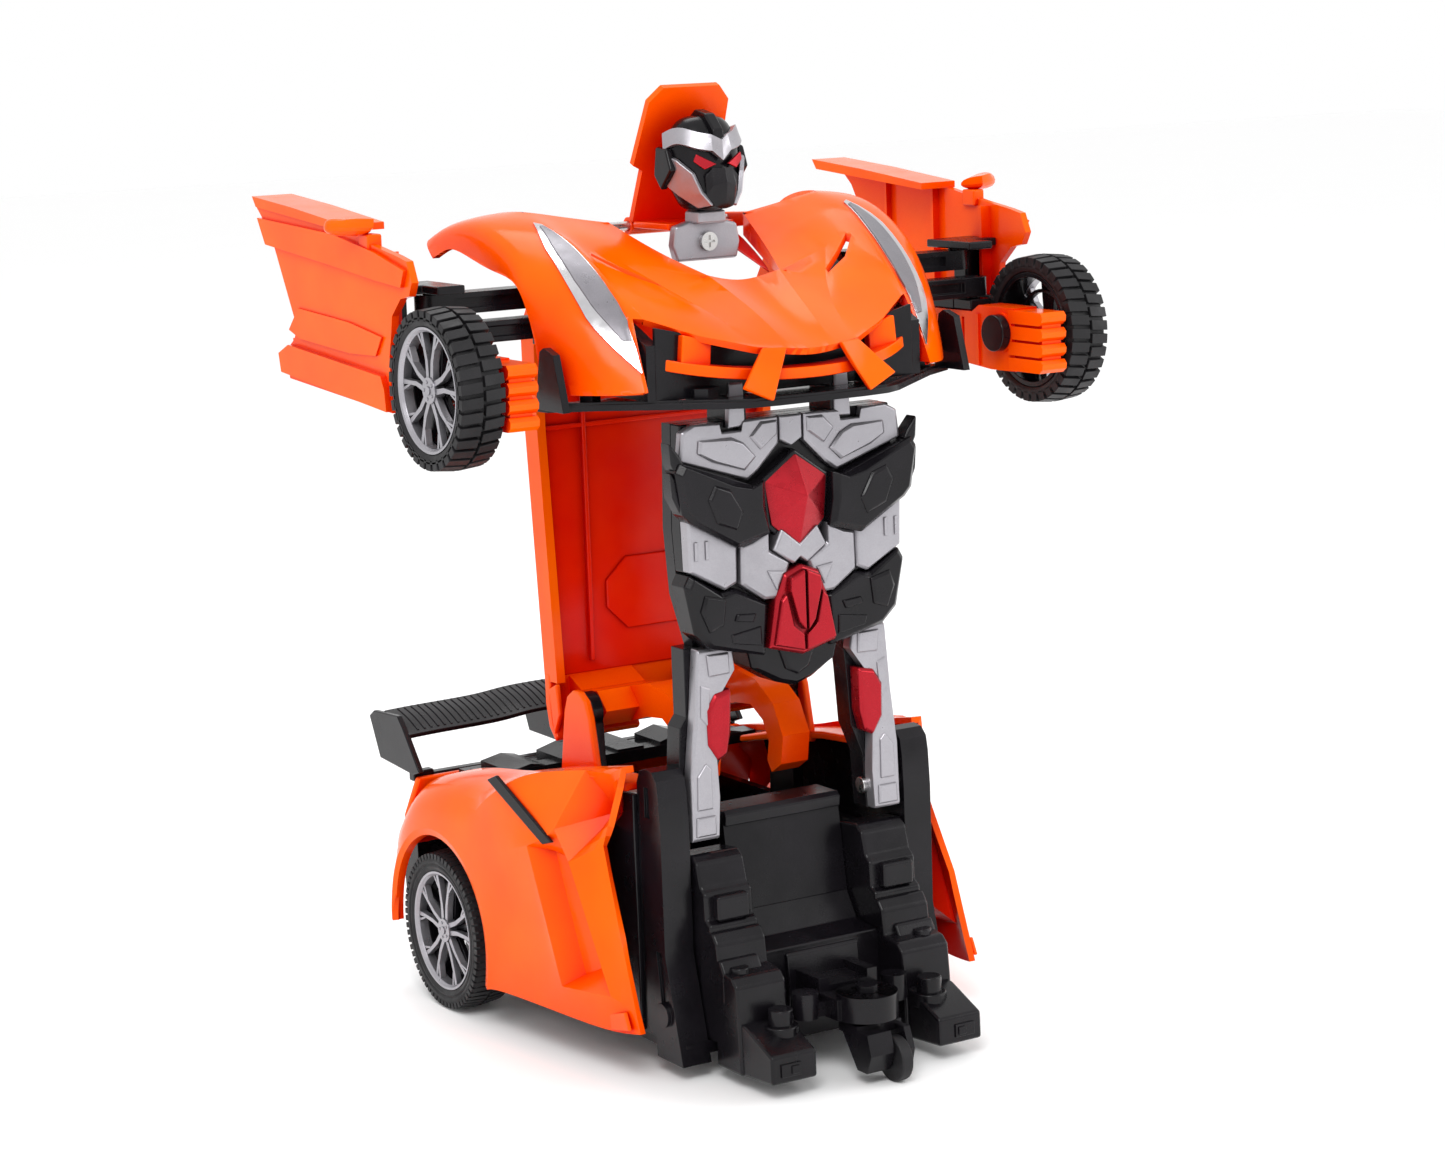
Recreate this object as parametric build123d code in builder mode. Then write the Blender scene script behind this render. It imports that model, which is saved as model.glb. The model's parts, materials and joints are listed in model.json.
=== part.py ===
"""Transforming robot car, standing as a robot, in millimetres.

+Z is up, the robot faces -Y and X is sideways. The origin is under the middle of the
bounding box, on the floor. The spine, the torso with the legs, the base and the chest form a
parallelogram: spine and torso turn together and the chest stays level.
"""

import os
from math import cos, radians, sin

from build123d import *

os.makedirs("parts", exist_ok=True)

SIDES = (-1, 1)

# Wheels
REAR_AXLE_Y = 33.5
REAR_WHEEL_R = 20.7
REAR_WHEEL_X = (45.5, 57.0)
REAR_RIM_R = 15.6
FRONT_WHEEL_YZ = (-40.7, 169.9)
FRONT_WHEEL_R = 18.8
FRONT_WHEEL_X = (79.6, 90.6)
FRONT_RIM_R = 14.6
AXLE_R = 1.5
RUNNING_FIT = 0.05

# Folding linkage, as (Y, Z) of axes that run along X
SPINE_PIVOT = (0.0, 80.5)
HOOD_PIVOT = (0.0, 194.5)
LEG_PIVOT = (-46.0, 62.0)
TORSO_PIVOT = (-46.0, 176.0)
FLAP_PIVOT = (5.0, 200.0)
HINGE_PIN_R = 2.0
TORSO_PIN_R = 1.5
FLAP_PIN_R = 1.2

# Arms: two stacked bars that turn about vertical posts
ARM_POST_X = 43.5
DOOR_POST_X = 75.5
UPPER_BAR = {"y": -15.0, "z": (184.2, 189.2)}
LOWER_BAR = {"y": -23.0, "z": (177.8, 182.8)}
BAR_HALF = 3.5
POST_R = 1.4

# Caster
CASTER_Y = -78.0
CASTER_WHEEL_YZ = (-85.2, 5.5)
CASTER_WHEEL_R = 5.5
STEM_R = 2.5

# Chassis
PAN_Z = (6.0, 9.0)
BLOCK_X = (17.0, 30.6)
SIDE_PLATE_X = (31.2, 39.2)
REAR_TIP_Y = 90.7
SKIN = 2.4


def side_slab(points, x_low, x_high, mode=Mode.ADD):
    """Extrude an outline of (Y, Z) points along X."""
    with BuildSketch(Plane.YZ.offset(x_low)) as profile:
        with BuildLine():
            Polyline(*points, close=True)
        make_face()
    extrude(profile.sketch, amount=x_high - x_low, mode=mode)


def front_slab(points, y_low, y_high, mode=Mode.ADD):
    """Extrude an outline of (X, Z) points along Y."""
    with BuildSketch(Plane.XZ.offset(-y_high)) as profile:
        with BuildLine():
            Polyline(*points, close=True)
        make_face()
    extrude(profile.sketch, amount=y_high - y_low, mode=mode)


def top_slab(points, z_low, z_high, mode=Mode.ADD):
    """Extrude an outline of (X, Y) points along Z."""
    with BuildSketch(Plane.XY.offset(z_low)) as profile:
        with BuildLine():
            Polyline(*points, close=True)
        make_face()
    extrude(profile.sketch, amount=z_high - z_low, mode=mode)


def box(x_range, y_range, z_range, mode=Mode.ADD):
    """A block between two values on each axis."""
    (x_low, x_high), (y_low, y_high) = sorted(x_range), sorted(y_range)
    corners = [(x_low, y_low), (x_high, y_low), (x_high, y_high), (x_low, y_high)]
    top_slab(corners, z_range[0], z_range[1], mode)


def rod_x(centre, radius, x_range, mode=Mode.ADD):
    """A round bar along X through a (Y, Z) centre."""
    x_low, x_high = sorted(x_range)
    with BuildSketch(Plane.YZ.offset(x_low)) as profile:
        with Locations(centre):
            Circle(radius)
    extrude(profile.sketch, amount=x_high - x_low, mode=mode)


def rod_y(centre, radius, y_range, mode=Mode.ADD):
    """A round bar along Y through an (X, Z) centre."""
    with BuildSketch(Plane.XZ.offset(-y_range[1])) as profile:
        with Locations(centre):
            Circle(radius)
    extrude(profile.sketch, amount=y_range[1] - y_range[0], mode=mode)


def rod_z(centre, radius, z_range, mode=Mode.ADD):
    """A round bar along Z through an (X, Y) centre."""
    with BuildSketch(Plane.XY.offset(z_range[0])) as profile:
        with Locations(centre):
            Circle(radius)
    extrude(profile.sketch, amount=z_range[1] - z_range[0], mode=mode)


def span(side, near, far):
    """The X range from near to far on one side, low value first."""
    return tuple(sorted((side * near, side * far)))


def flip(points, side):
    """Outline points with their first value mirrored for the left side."""
    return [(side * first, second) for first, second in points]


def side_name(side):
    return "right" if side > 0 else "left"


def save(part, name):
    part.label = name
    export_step(part, f"parts/{name}.step")


# ---------------------------------------------------------------- base: chassis
SEAT = [
    (-42, 60.5), (-45.5, 36), (-49.5, 29.5), (-58.5, 28.5), (-58.5, 6),
    (-56, 6), (-56, 26), (-48, 27), (-43, 35), (-39.6, 58), (-33, 58), (-33, 60.5),
]
WALL_X = (35.0, 37.5)
WALL_TOP = 46.0
BATTERY_HATCH = {"x": (-26, 26), "y": (-33, 22)}
SWITCH_SLOT = {"x": (27.6, 32.4), "y": (24.6, 33.4)}

with BuildPart() as chassis:
    box((-37.5, 37.5), (-56, 58), PAN_Z)
    side_slab(SEAT, -16.8, 16.8)
    for side in SIDES:
        box(span(side, *WALL_X), (-39.4, 55.4), (PAN_Z[1], WALL_TOP))
    box((-37.5, 37.5), (53.0, 55.4), (PAN_Z[1], 38))
    # caster bracket with its ring
    box((-8.5, 8.5), (CASTER_Y, -58.5), (14.8, 20.0))
    rod_z((0, CASTER_Y), 7.5, (14.8, 21.0))
    rod_z((0, CASTER_Y), STEM_R + RUNNING_FIT, (10, 25), Mode.SUBTRACT)
    box(BATTERY_HATCH["x"], BATTERY_HATCH["y"], PAN_Z, Mode.SUBTRACT)
    box(SWITCH_SLOT["x"], SWITCH_SLOT["y"], PAN_Z, Mode.SUBTRACT)
    rod_x((REAR_AXLE_Y, REAR_WHEEL_R), AXLE_R + RUNNING_FIT, (-40, 40), Mode.SUBTRACT)
save(chassis.part, "chassis")

# stepped blocks that end in the feet, with a round peg on each instep
FOOT_PROFILE = [
    (-39.5, 9), (-39.5, 52.5), (-52, 53.5), (-55.5, 45), (-55.5, 38.5), (-59.5, 36),
    (-61, 27.5), (-68.5, 26.5), (-70, 16.5), (-82.6, 11), (-82.6, 4.4), (-70, 3.5),
    (-58.6, 3.5), (-58.6, 9),
]
with BuildPart() as foot_blocks:
    for side in SIDES:
        side_slab(FOOT_PROFILE, *span(side, *BLOCK_X))
        rod_z((side * 21.5, -73.2), 3.0, (10, 19.5))
        box(span(side, 22.5, 27.5), (-83, -81.4), (6.2, 9.0), Mode.SUBTRACT)
save(foot_blocks.part, "foot_blocks")

SIDE_PLATE_PROFILE = [
    (-40, 9), (-40, 73), (-42, 75), (-46.2, 75), (-49.5, 72), (-50.5, 60),
    (-50.5, 30), (-57, 4), (-45, 4),
]
with BuildPart() as side_plates:
    for side in SIDES:
        side_slab(SIDE_PLATE_PROFILE, *span(side, *SIDE_PLATE_X))
        box(span(side, SIDE_PLATE_X[0], 37.6), (-46, -39), (3, PAN_Z[1]), Mode.SUBTRACT)
        box(span(side, SIDE_PLATE_X[0], 37.6), (-56.1, -45.9), (PAN_Z[0], PAN_Z[1]), Mode.SUBTRACT)
        rod_x(LEG_PIVOT, HINGE_PIN_R, span(side, 31, 35), Mode.SUBTRACT)
save(side_plates.part, "side_plates")

with BuildPart() as leg_pins:
    for side in SIDES:
        rod_x(LEG_PIVOT, HINGE_PIN_R, span(side, 21.0, 35))
save(leg_pins.part, "leg_pins")

# ribs that carry the spine's hinge pin
RIB = [(-8, 9), (8, 9), (4.6, 78), (-4.6, 78)]
with BuildPart() as hinge_ribs:
    for side in SIDES:
        side_slab(RIB, *span(side, 27.5, 30.5))
        rod_x(SPINE_PIVOT, 4.8, span(side, 27.5, 30.5))
        rod_x(SPINE_PIVOT, HINGE_PIN_R + RUNNING_FIT, span(side, 27, 31), Mode.SUBTRACT)
save(hinge_ribs.part, "hinge_ribs")

# ---------------------------------------------------------------- base: bodywork
FENDER_OUTLINE = [
    (11.5, 11.5), (-54.4, 13.6), (-47, 35.5), (-36.5, 56), (-41, 75.5), (-5, 68),
    (12, 64.4), (33, 61.8), (52.3, 57.7), (60.8, 46), (58, 30), (54.5, 22),
]
FENDER_PLAN = [
    (57, 61), (57, 6), (49, -54.5), (40.5, -54.5), (40.5, -50), (46.2, -50), (54.4, 6), (54.4, 61),
]
FENDER_TOP = [
    (60.8, 46), (52.3, 57.7), (33, 61.8), (12, 64.4), (-5, 68), (-41, 75.5), (-40.2, 72.8),
    (-5, 65.4), (12, 61.9), (33, 59.3), (50.8, 55.4), (58.2, 46),
]
FENDER_TOP_PLAN = [(57, 61), (57, 6), (50, -30), (44, -41), (40.5, -41), (40.5, -5), (39, 61)]
ARCH_R = 25.2
with BuildPart() as fender_tops:
    for side in SIDES:
        top_slab(flip(FENDER_TOP_PLAN, side), 40, 80)
    side_slab(FENDER_TOP, -60, 60, Mode.INTERSECT)

with BuildPart() as rear_body_shell:
    for side in SIDES:
        top_slab(flip(FENDER_PLAN, side), 11, 76)
    side_slab(FENDER_OUTLINE, -60, 60, Mode.INTERSECT)
    add(fender_tops.part)
    box((-56, 56), (55.6, 58.2), (38.5, 56))
    rod_x((REAR_AXLE_Y, REAR_WHEEL_R), ARCH_R, (-60, 60), Mode.SUBTRACT)
save(rear_body_shell.part, "rear_body_shell")

ENGINE_COVER = [
    (30, 57.5), (30, 60.5), (36, 60.5), (36, 59.5), (42, 59.5), (42, 58.2), (48, 58.2),
    (48, 57), (54.8, 57), (54.8, 52), (50, 52), (46, 54.5),
]
with BuildPart() as engine_cover:
    side_slab(ENGINE_COVER, -38.6, 38.6)
save(engine_cover.part, "engine_cover")

STRIP = [(-1.5, 68.3), (2.5, 66.6), (-19.5, 54), (-23.5, 55.2)]
STRIP_PLAN = [(57.05, 6), (58, 6), (53.9, -25), (52.95, -25)]
with BuildPart() as side_strips:
    for side in SIDES:
        top_slab(flip(STRIP_PLAN, side), 50, 70)
    side_slab(STRIP, -60, 60, Mode.INTERSECT)
save(side_strips.part, "side_strips")

BUMPER = [(58.4, 16), (66.5, 22), (67.5, 34), (63, 40.5), (58.4, 40.5)]
with BuildPart() as rear_bumper:
    side_slab(BUMPER, -50, 50)
save(rear_bumper.part, "rear_bumper")

ENDPLATE = [(82.2, 67.7), (65.4, 70), (54.6, 57.4), (58.3, 56.3), (77.4, 57.6)]
WING_BLADE = [(61.2, 65.4), (61.2, 66.9), (70, 70.2), (76, 71.2), (76, 69.9), (69, 68)]
WING_FIN = [(REAR_TIP_Y, 68.8), (68, 68.1), (59, 58), (62, 56.3), (85, 56.6)]
with BuildPart() as rear_wing:
    side_slab(WING_BLADE, -50, 50)
    for side in SIDES:
        side_slab(ENDPLATE, *span(side, 48.6, 50.4))
    side_slab(WING_FIN, -1.1, 1.1)
    box((-44, 44), (58.3, 61.5), (54.2, 56.4))
    for side in SIDES:
        box(span(side, 44, 50.4), (58.3, 61.5), (54.2, 57.4))
save(rear_wing.part, "rear_wing")

# ---------------------------------------------------------------- base: inside
CELL_R = 7.1
with BuildPart() as battery_pack:
    for cell in range(3):
        rod_x((-24.5 + 14.0 * cell, 17.2), CELL_R, (-25.2, 25.2))
    box((-25.2, 25.2), (-24.5, 3.5), (12, 22))
save(battery_pack.part, "battery_pack")

with BuildPart() as battery_door:
    box((-25.8, 25.8), (-32.8, 21.8), PAN_Z)
    box((-6, 6), (-31, -28), (7.6, PAN_Z[1]), Mode.SUBTRACT)
save(battery_door.part, "battery_door")

with BuildPart() as circuit_board:
    box((-24, 24), (-34, 12), (26, 27.6))
    box((-16, -4), (-22, -12), (27.6, 30))
    box((6, 15), (-10, 0), (27.6, 33))
    rod_z((-14, 2), 2.6, (27.6, 35))
    for x in (-21.5, 21.5):
        box((x - 1.5, x + 1.5), (-33, -30), (24.4, 26))
save(circuit_board.part, "circuit_board")

GEAR_X = (3.0, 6.0)
GEAR_R = 9.0
with BuildPart() as gearbox:
    box((-13, 13), (23.5, 50), (9, 36))
    rod_x((REAR_AXLE_Y, REAR_WHEEL_R), AXLE_R + RUNNING_FIT, (-14, 14), Mode.SUBTRACT)
    rod_x((REAR_AXLE_Y, REAR_WHEEL_R), GEAR_R + 1.6, (GEAR_X[0] - 0.6, GEAR_X[1] + 0.6), Mode.SUBTRACT)
save(gearbox.part, "gearbox")

MOTOR_R = 7.7
with BuildPart() as motors:
    rod_x((44, 24), MOTOR_R, (-33.5, -13))
    rod_x((44, 24), 1.0, (-34.8, -33.5))
    rod_x((33, 46), MOTOR_R, (-22, 4))
    rod_x((33, 46), 2.6, (4, 12))
save(motors.part, "motors")

# rear axle body
with BuildPart() as rear_axle:
    rod_x((REAR_AXLE_Y, REAR_WHEEL_R), AXLE_R, (-55.6, 55.6))
save(rear_axle.part, "rear_axle")

TEETH = 24
with BuildPart() as drive_gear:
    with BuildSketch(Plane.YZ.offset(GEAR_X[0])) as gear_profile:
        with Locations((REAR_AXLE_Y, REAR_WHEEL_R)):
            Circle(GEAR_R - 1.2)
            with PolarLocations(GEAR_R - 0.9, TEETH):
                Rectangle(1.9, 1.1)
            Circle(AXLE_R, mode=Mode.SUBTRACT)
    extrude(amount=GEAR_X[1] - GEAR_X[0])
save(drive_gear.part, "drive_gear")


def add_rim(centre, radius, x_range, side, bore):
    """A wheel rim: a band, a hub and five pairs of spokes near the outer face."""
    spoke_x = span(side, x_range[1] - 2.6, x_range[1] - 0.8)
    rod_x(centre, radius, span(side, *x_range))
    rod_x(centre, radius - 1.6, span(side, *x_range), Mode.SUBTRACT)
    rod_x(centre, 3.6, span(side, x_range[0], x_range[1] - 0.8))
    with BuildSketch(Plane.YZ.offset(spoke_x[0])) as spokes:
        with Locations(centre):
            for pair in range(5):
                for lean in (-9, 9):
                    with PolarLocations(radius / 2, 1, start_angle=72 * pair + lean):
                        Rectangle(radius - 1.0, 1.9)
    extrude(spokes.sketch, amount=spoke_x[1] - spoke_x[0])
    rod_x(centre, bore, span(side, x_range[0] - 1, x_range[1] + 1), Mode.SUBTRACT)


def add_tyre(centre, outer, inner, x_range, side):
    """A tyre: a ring with a step for each shoulder."""
    shoulder = 0.8
    rod_x(centre, outer - shoulder, span(side, *x_range))
    rod_x(centre, outer, span(side, x_range[0] + shoulder, x_range[1] - shoulder))
    rod_x(centre, inner, span(side, x_range[0] - 1, x_range[1] + 1), Mode.SUBTRACT)


REAR_HUB = (REAR_AXLE_Y, REAR_WHEEL_R)
with BuildPart() as rear_rims:
    for side in SIDES:
        add_rim(REAR_HUB, REAR_RIM_R, (46.0, 56.6), side, AXLE_R)
save(rear_rims.part, "rear_rims")

with BuildPart() as rear_tyres:
    for side in SIDES:
        add_tyre(REAR_HUB, REAR_WHEEL_R, REAR_RIM_R, REAR_WHEEL_X, side)
save(rear_tyres.part, "rear_tyres")

# ---------------------------------------------------------------- caster and switch
CASTER_WHEEL_X = (1.2, 4.4)
CASTER_FORK_GAP = (0.8, 4.8)
CHEEK_TOP = 14.0
with BuildPart() as caster_fork:
    rod_z((0, CASTER_Y), STEM_R, (13, 22.5))
    rod_z((0, CASTER_Y), 4.6, (11.5, CHEEK_TOP))
    box((-6.0, 6.6), (-82.5, -74.5), (11.5, CHEEK_TOP))
    side_slab([(-75, 13), (-86.5, 13), (-88, 8), (-86, 3.4), (-82, 3.4)], -6.0, CASTER_FORK_GAP[0])
    side_slab([(-77, 13), (-86, 13), (-88, 8), (-87, 4), (-83, 4)], CASTER_FORK_GAP[1], 6.6)
    rod_x(CASTER_WHEEL_YZ, CASTER_WHEEL_R + 0.5, CASTER_FORK_GAP, Mode.SUBTRACT)
    rod_x(CASTER_WHEEL_YZ, 1.0, (-6.0, 6.6))
save(caster_fork.part, "caster_fork")

with BuildPart() as caster_wheel:
    rod_x(CASTER_WHEEL_YZ, CASTER_WHEEL_R, CASTER_WHEEL_X)
    rod_x(CASTER_WHEEL_YZ, 1.0 + RUNNING_FIT, CASTER_WHEEL_X, Mode.SUBTRACT)
save(caster_wheel.part, "caster_wheel")

with BuildPart() as power_switch:
    box((28.0, 32.0), (25, 29), (4.4, 9.3))
    box((26.6, 33.4), (24.2, 29.8), (9.3, 10.8))
save(power_switch.part, "power_switch")

# ---------------------------------------------------------------- torso and legs
LEG_FRONT_Y = -50.0
LEG_SPLIT_Y = -46.8
TORSO_BACK_Y = -42.0
LEG_OUTLINE = [(22.4, 56.2), (30.3, 56.2), (30.0, 70), (26.8, 103), (16.2, 103), (17.4, 92)]
with BuildPart() as legs:
    for side in SIDES:
        front_slab(flip(LEG_OUTLINE, side), LEG_SPLIT_Y, -41.0)
    rod_x(LEG_PIVOT, HINGE_PIN_R + RUNNING_FIT, (-34, 34), Mode.SUBTRACT)
save(legs.part, "legs")

LEG_COVER_OUTLINE = [(22.6, 56.4), (30.1, 56.4), (29.8, 70), (26.6, 103), (18.5, 103), (20.5, 84)]
INSERT_OUTLINE = [(21.0, 92), (23.6, 89), (24.6, 78), (22.4, 72.5), (20.6, 77)]
with BuildPart() as leg_covers:
    for side in SIDES:
        front_slab(flip(LEG_COVER_OUTLINE, side), LEG_FRONT_Y, LEG_SPLIT_Y)
        front_slab(flip(INSERT_OUTLINE, side), LEG_FRONT_Y - 1, LEG_FRONT_Y + 1.4, Mode.SUBTRACT)
    rod_x(LEG_PIVOT, HINGE_PIN_R + RUNNING_FIT, (-34, 34), Mode.SUBTRACT)
save(leg_covers.part, "leg_covers")

with BuildPart() as leg_inserts:
    for side in SIDES:
        front_slab(flip(INSERT_OUTLINE, side), LEG_FRONT_Y - 0.3, LEG_FRONT_Y + 1.4)
save(leg_inserts.part, "leg_inserts")

PELVIS_OUTLINE = [(-14, 103), (14, 103), (9.5, 95), (0, 90.6), (-9.5, 95)]
with BuildPart() as pelvis:
    front_slab(PELVIS_OUTLINE, -52, TORSO_BACK_Y)
save(pelvis.part, "pelvis")

TORSO_OUTLINE = [
    (-25.7, 103), (25.7, 103), (29.3, 116), (30.4, 132), (29.7, 157), (-29.7, 157),
    (-30.4, 132), (-29.3, 116),
]
TAB_X = (12.0, 17.0)
TAB_R = 3.0
TAB_PROFILE = [(-51.5, 157), (-42, 157), (-43, 176), (-49, 176), (-51.5, 162)]
with BuildPart() as torso_back:
    front_slab(TORSO_OUTLINE, -46, TORSO_BACK_Y)
    box((-13, 13), (TORSO_BACK_Y - 0.9, TORSO_BACK_Y + 1), (112, 130), Mode.SUBTRACT)
    for side in SIDES:
        side_slab(TAB_PROFILE, *span(side, *TAB_X))
        rod_x(TORSO_PIVOT, TAB_R, span(side, *TAB_X))
        rod_x(TORSO_PIVOT, TORSO_PIN_R + 0.6, span(side, 11, 18), Mode.SUBTRACT)
save(torso_back.part, "torso_back")

TORSO_FRONT_OUTLINE = [
    (-29.7, 157), (29.7, 157), (30.4, 132), (29.8, 122), (10.1, 112), (10.1, 103), (-10.1, 103),
    (-10.1, 112), (-29.8, 122), (-30.4, 132),
]
with BuildPart() as torso_front:
    front_slab(TORSO_FRONT_OUTLINE, -52, -46)
save(torso_front.part, "torso_front")

WAIST_OUTLINE = [(10.4, 103.2), (10.4, 111.6), (29.6, 121.4), (29.2, 115), (25.7, 103.2)]
with BuildPart() as waist_plates:
    for side in SIDES:
        front_slab(flip(WAIST_OUTLINE, side), -54, -46)
save(waist_plates.part, "waist_plates")

CHEST_OUTLINE = [(12.8, 143), (33.6, 148.6), (34.2, 145.5), (30.6, 131), (15.2, 126.9), (12.2, 135)]
with BuildPart() as chest_plates:
    for side in SIDES:
        front_slab(flip(CHEST_OUTLINE, side), -57.2, -52)
save(chest_plates.part, "chest_plates")

GEM_OUTLINE = [(0, 148), (8.4, 143.5), (8.2, 135), (0, 125.2), (-8.2, 135), (-8.4, 143.5)]
with BuildPart() as chest_gem:
    front_slab(GEM_OUTLINE, -58.8, -52)
save(chest_gem.part, "chest_gem")

BELLY_OUTLINE = [(-8.5, 119), (0, 121.5), (8.5, 119), (9.9, 101.4), (0, 99.4), (-9.9, 101.4)]
with BuildPart() as belly_plate:
    front_slab(BELLY_OUTLINE, -57.6, -52)
save(belly_plate.part, "belly_plate")

# ---------------------------------------------------------------- spine
PANEL_HALF_TOP = 34.5
PANEL_HALF_LOW = 32.0
PANEL_OUTLINE = [
    (-PANEL_HALF_LOW, 86), (PANEL_HALF_LOW, 86), (PANEL_HALF_TOP, 150), (PANEL_HALF_TOP, 176),
    (-PANEL_HALF_TOP, 176), (-PANEL_HALF_TOP, 150),
]
HUMP = [(14.6, 87), (17, 87), (15.5, 79), (11, 73.5), (4, 75.6), (0, 76), (-4.5, 80.5), (0, 85), (8, 84)]
HOOK = [
    (0, 85), (-9, 87.2), (-18, 86), (-26, 81), (-30.2, 73.4), (-29, 66), (-24.5, 63.2),
    (-22.6, 66), (-23.6, 71), (-21, 76), (-15.5, 79.2), (-8, 78.4), (0, 76),
]
EAR_PROFILE = [(13, 168), (17, 176), (4.0, 195), (-3.6, 193), (0, 189)]
with BuildPart() as roof_panel:
    front_slab(PANEL_OUTLINE, 14.6, 17.0)
    for side in SIDES:
        edge = [
            (PANEL_HALF_LOW - SKIN, 86), (PANEL_HALF_LOW, 86), (PANEL_HALF_TOP, 150),
            (PANEL_HALF_TOP, 176), (PANEL_HALF_TOP - SKIN, 176), (PANEL_HALF_TOP - SKIN, 150),
        ]
        front_slab(flip(edge, side), 10.6, 14.6)
        side_slab(EAR_PROFILE, *span(side, 32.1, PANEL_HALF_TOP))
        rod_x(HOOD_PIVOT, 4.0, span(side, 32.1, PANEL_HALF_TOP))
        side_slab(HUMP, *span(side, 8, 26.5))
        side_slab(HOOK, *span(side, 9, 17))
    box((-8, 8), (14.6, 17), (80, 87))
    rod_x(SPINE_PIVOT, HINGE_PIN_R, (-40, 40), Mode.SUBTRACT)
    rod_x(HOOD_PIVOT, HINGE_PIN_R + RUNNING_FIT, (-40, 40), Mode.SUBTRACT)
save(roof_panel.part, "roof_panel")

with BuildPart() as spine_pin:
    rod_x(SPINE_PIVOT, HINGE_PIN_R, (-30.5, 30.5))
save(spine_pin.part, "spine_pin")

# ---------------------------------------------------------------- chest: the car's nose
BONNET_HALF = 39.0
BONNET = [(-2, 202.5), (-30, 189.5), (-63.8, 173.6), (-63.8, 171.6), (-30, 187.0), (-2, 200.0)]
NOSE_PLAN = [(-BONNET_HALF, -2), (-BONNET_HALF, -46), (-14, -61.5), (0, -63.8), (14, -61.5),
             (BONNET_HALF, -46), (BONNET_HALF, -2)]
NOTCH_PLAN = [(-20, 0), (-12, -31), (12, -31), (20, 0)]
HOOD_SIDE = [
    (24.1, 199.7), (18, 203.6), (8, 205.6), (-6, 206.6), (-14, 206), (-22, 198.4), (-53.2, 173),
    (-54, 166.5), (-45, 165.4), (-31.5, 166.5), (-31, 180), (-24, 191.6), (-14, 192.8), (9, 198.2),
    (18.6, 194.4),
]
HOOD_HOLLOW = [
    (30, 198), (8, 202.8), (-6, 203.8), (-13, 203.2), (-20.4, 196.2), (-50.6, 172), (-51, 160), (30, 160),
]
HOOD_SIDE_PLAN = [(39, 25), (57, 25), (57, -22), (54, -36), (46, -50), (39, -54.2)]
HOLLOW_PLAN = [(30, 30), (54.6, 30), (54.6, -22), (51.4, -35), (44.4, -48), (30, -51)]
with BuildPart() as fender_hollow:
    for side in SIDES:
        top_slab(flip(HOLLOW_PLAN, side), 155, 210)
    side_slab(HOOD_HOLLOW, -60, 60, Mode.INTERSECT)

with BuildPart() as bonnet:
    top_slab(NOSE_PLAN, 165, 210)
    side_slab(BONNET, -60, 60, Mode.INTERSECT)
    top_slab(NOTCH_PLAN, 165, 215, Mode.SUBTRACT)

EAR_Y = [(-4, 202.2), (-4, 198.6), (3.4, 197.9), (7.2, 198.2), (7.2, 201.8), (4, 202.5)]
with BuildPart() as hood_shell:
    for side in SIDES:
        top_slab(flip(HOOD_SIDE_PLAN, side), 155, 210)
    side_slab(HOOD_SIDE, -60, 60, Mode.INTERSECT)
    add(fender_hollow.part, mode=Mode.SUBTRACT)
    add(bonnet.part)
    for side in SIDES:
        side_slab(EAR_Y, *span(side, 20.6, 23))
    rod_x(FLAP_PIVOT, FLAP_PIN_R, (-30, 30), Mode.SUBTRACT)
save(hood_shell.part, "hood_shell")

with BuildPart() as flap_pin:
    rod_x(FLAP_PIVOT, FLAP_PIN_R, (-23, 23))
save(flap_pin.part, "flap_pin")

LAMP = [(-52.6, 173.6), (-22.6, 198.1), (-23.4, 199.1), (-53.4, 174.6)]
LAMP_PLAN = [(41, -53), (49.6, -20), (48.6, -38)]
with BuildPart() as headlights:
    for side in SIDES:
        top_slab(flip(LAMP_PLAN, side), 160, 210)
    side_slab(LAMP, -60, 60, Mode.INTERSECT)
save(headlights.part, "headlights")

SPLITTER_HALF_PLAN = [
    (0, -66.4), (18.1, -66.4), (47.3, -43), (57.2, -37), (57.8, -33), (38.5, -33), (36, -35.5),
    (18.6, -35.5), (18.6, -53), (10.4, -53), (10.4, -35.5), (0, -35.5),
]
FIN_PROFILE = [(-45, 163.2), (-41, 175.4), (-36, 176.6), (-33, 165), (-33, 161.4), (-38, 161.4)]
with BuildPart() as splitter:
    for side in SIDES:
        top_slab(flip(SPLITTER_HALF_PLAN, side), 161.4, 163.2)
        side_slab(FIN_PROFILE, *span(side, 55.6, 57.8))
        box(span(side, 47, 57.8), (-40, -33), (163.2, 163.8))
save(splitter.part, "splitter")

LIP_HALF_PLAN = [(0, -62.4), (16, -60.6), (34.6, -51.5), (34.6, -54.5), (17, -63.8), (0, -65.8)]
CANARD_PROFILE = [(-52.5, 163.4), (-52.5, 171.6), (-63.6, 171.4), (-65.8, 163.4)]
with BuildPart() as lip_and_canards:
    for side in SIDES:
        top_slab(flip(LIP_HALF_PLAN, side), 166.6, 168.2)
        side_slab(CANARD_PROFILE, *span(side, 12.2, 14.2))
        box(span(side, 33, 34.6), (-54.5, -51.6), (163.4, 172))
save(lip_and_canards.part, "lip_and_canards")

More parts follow.
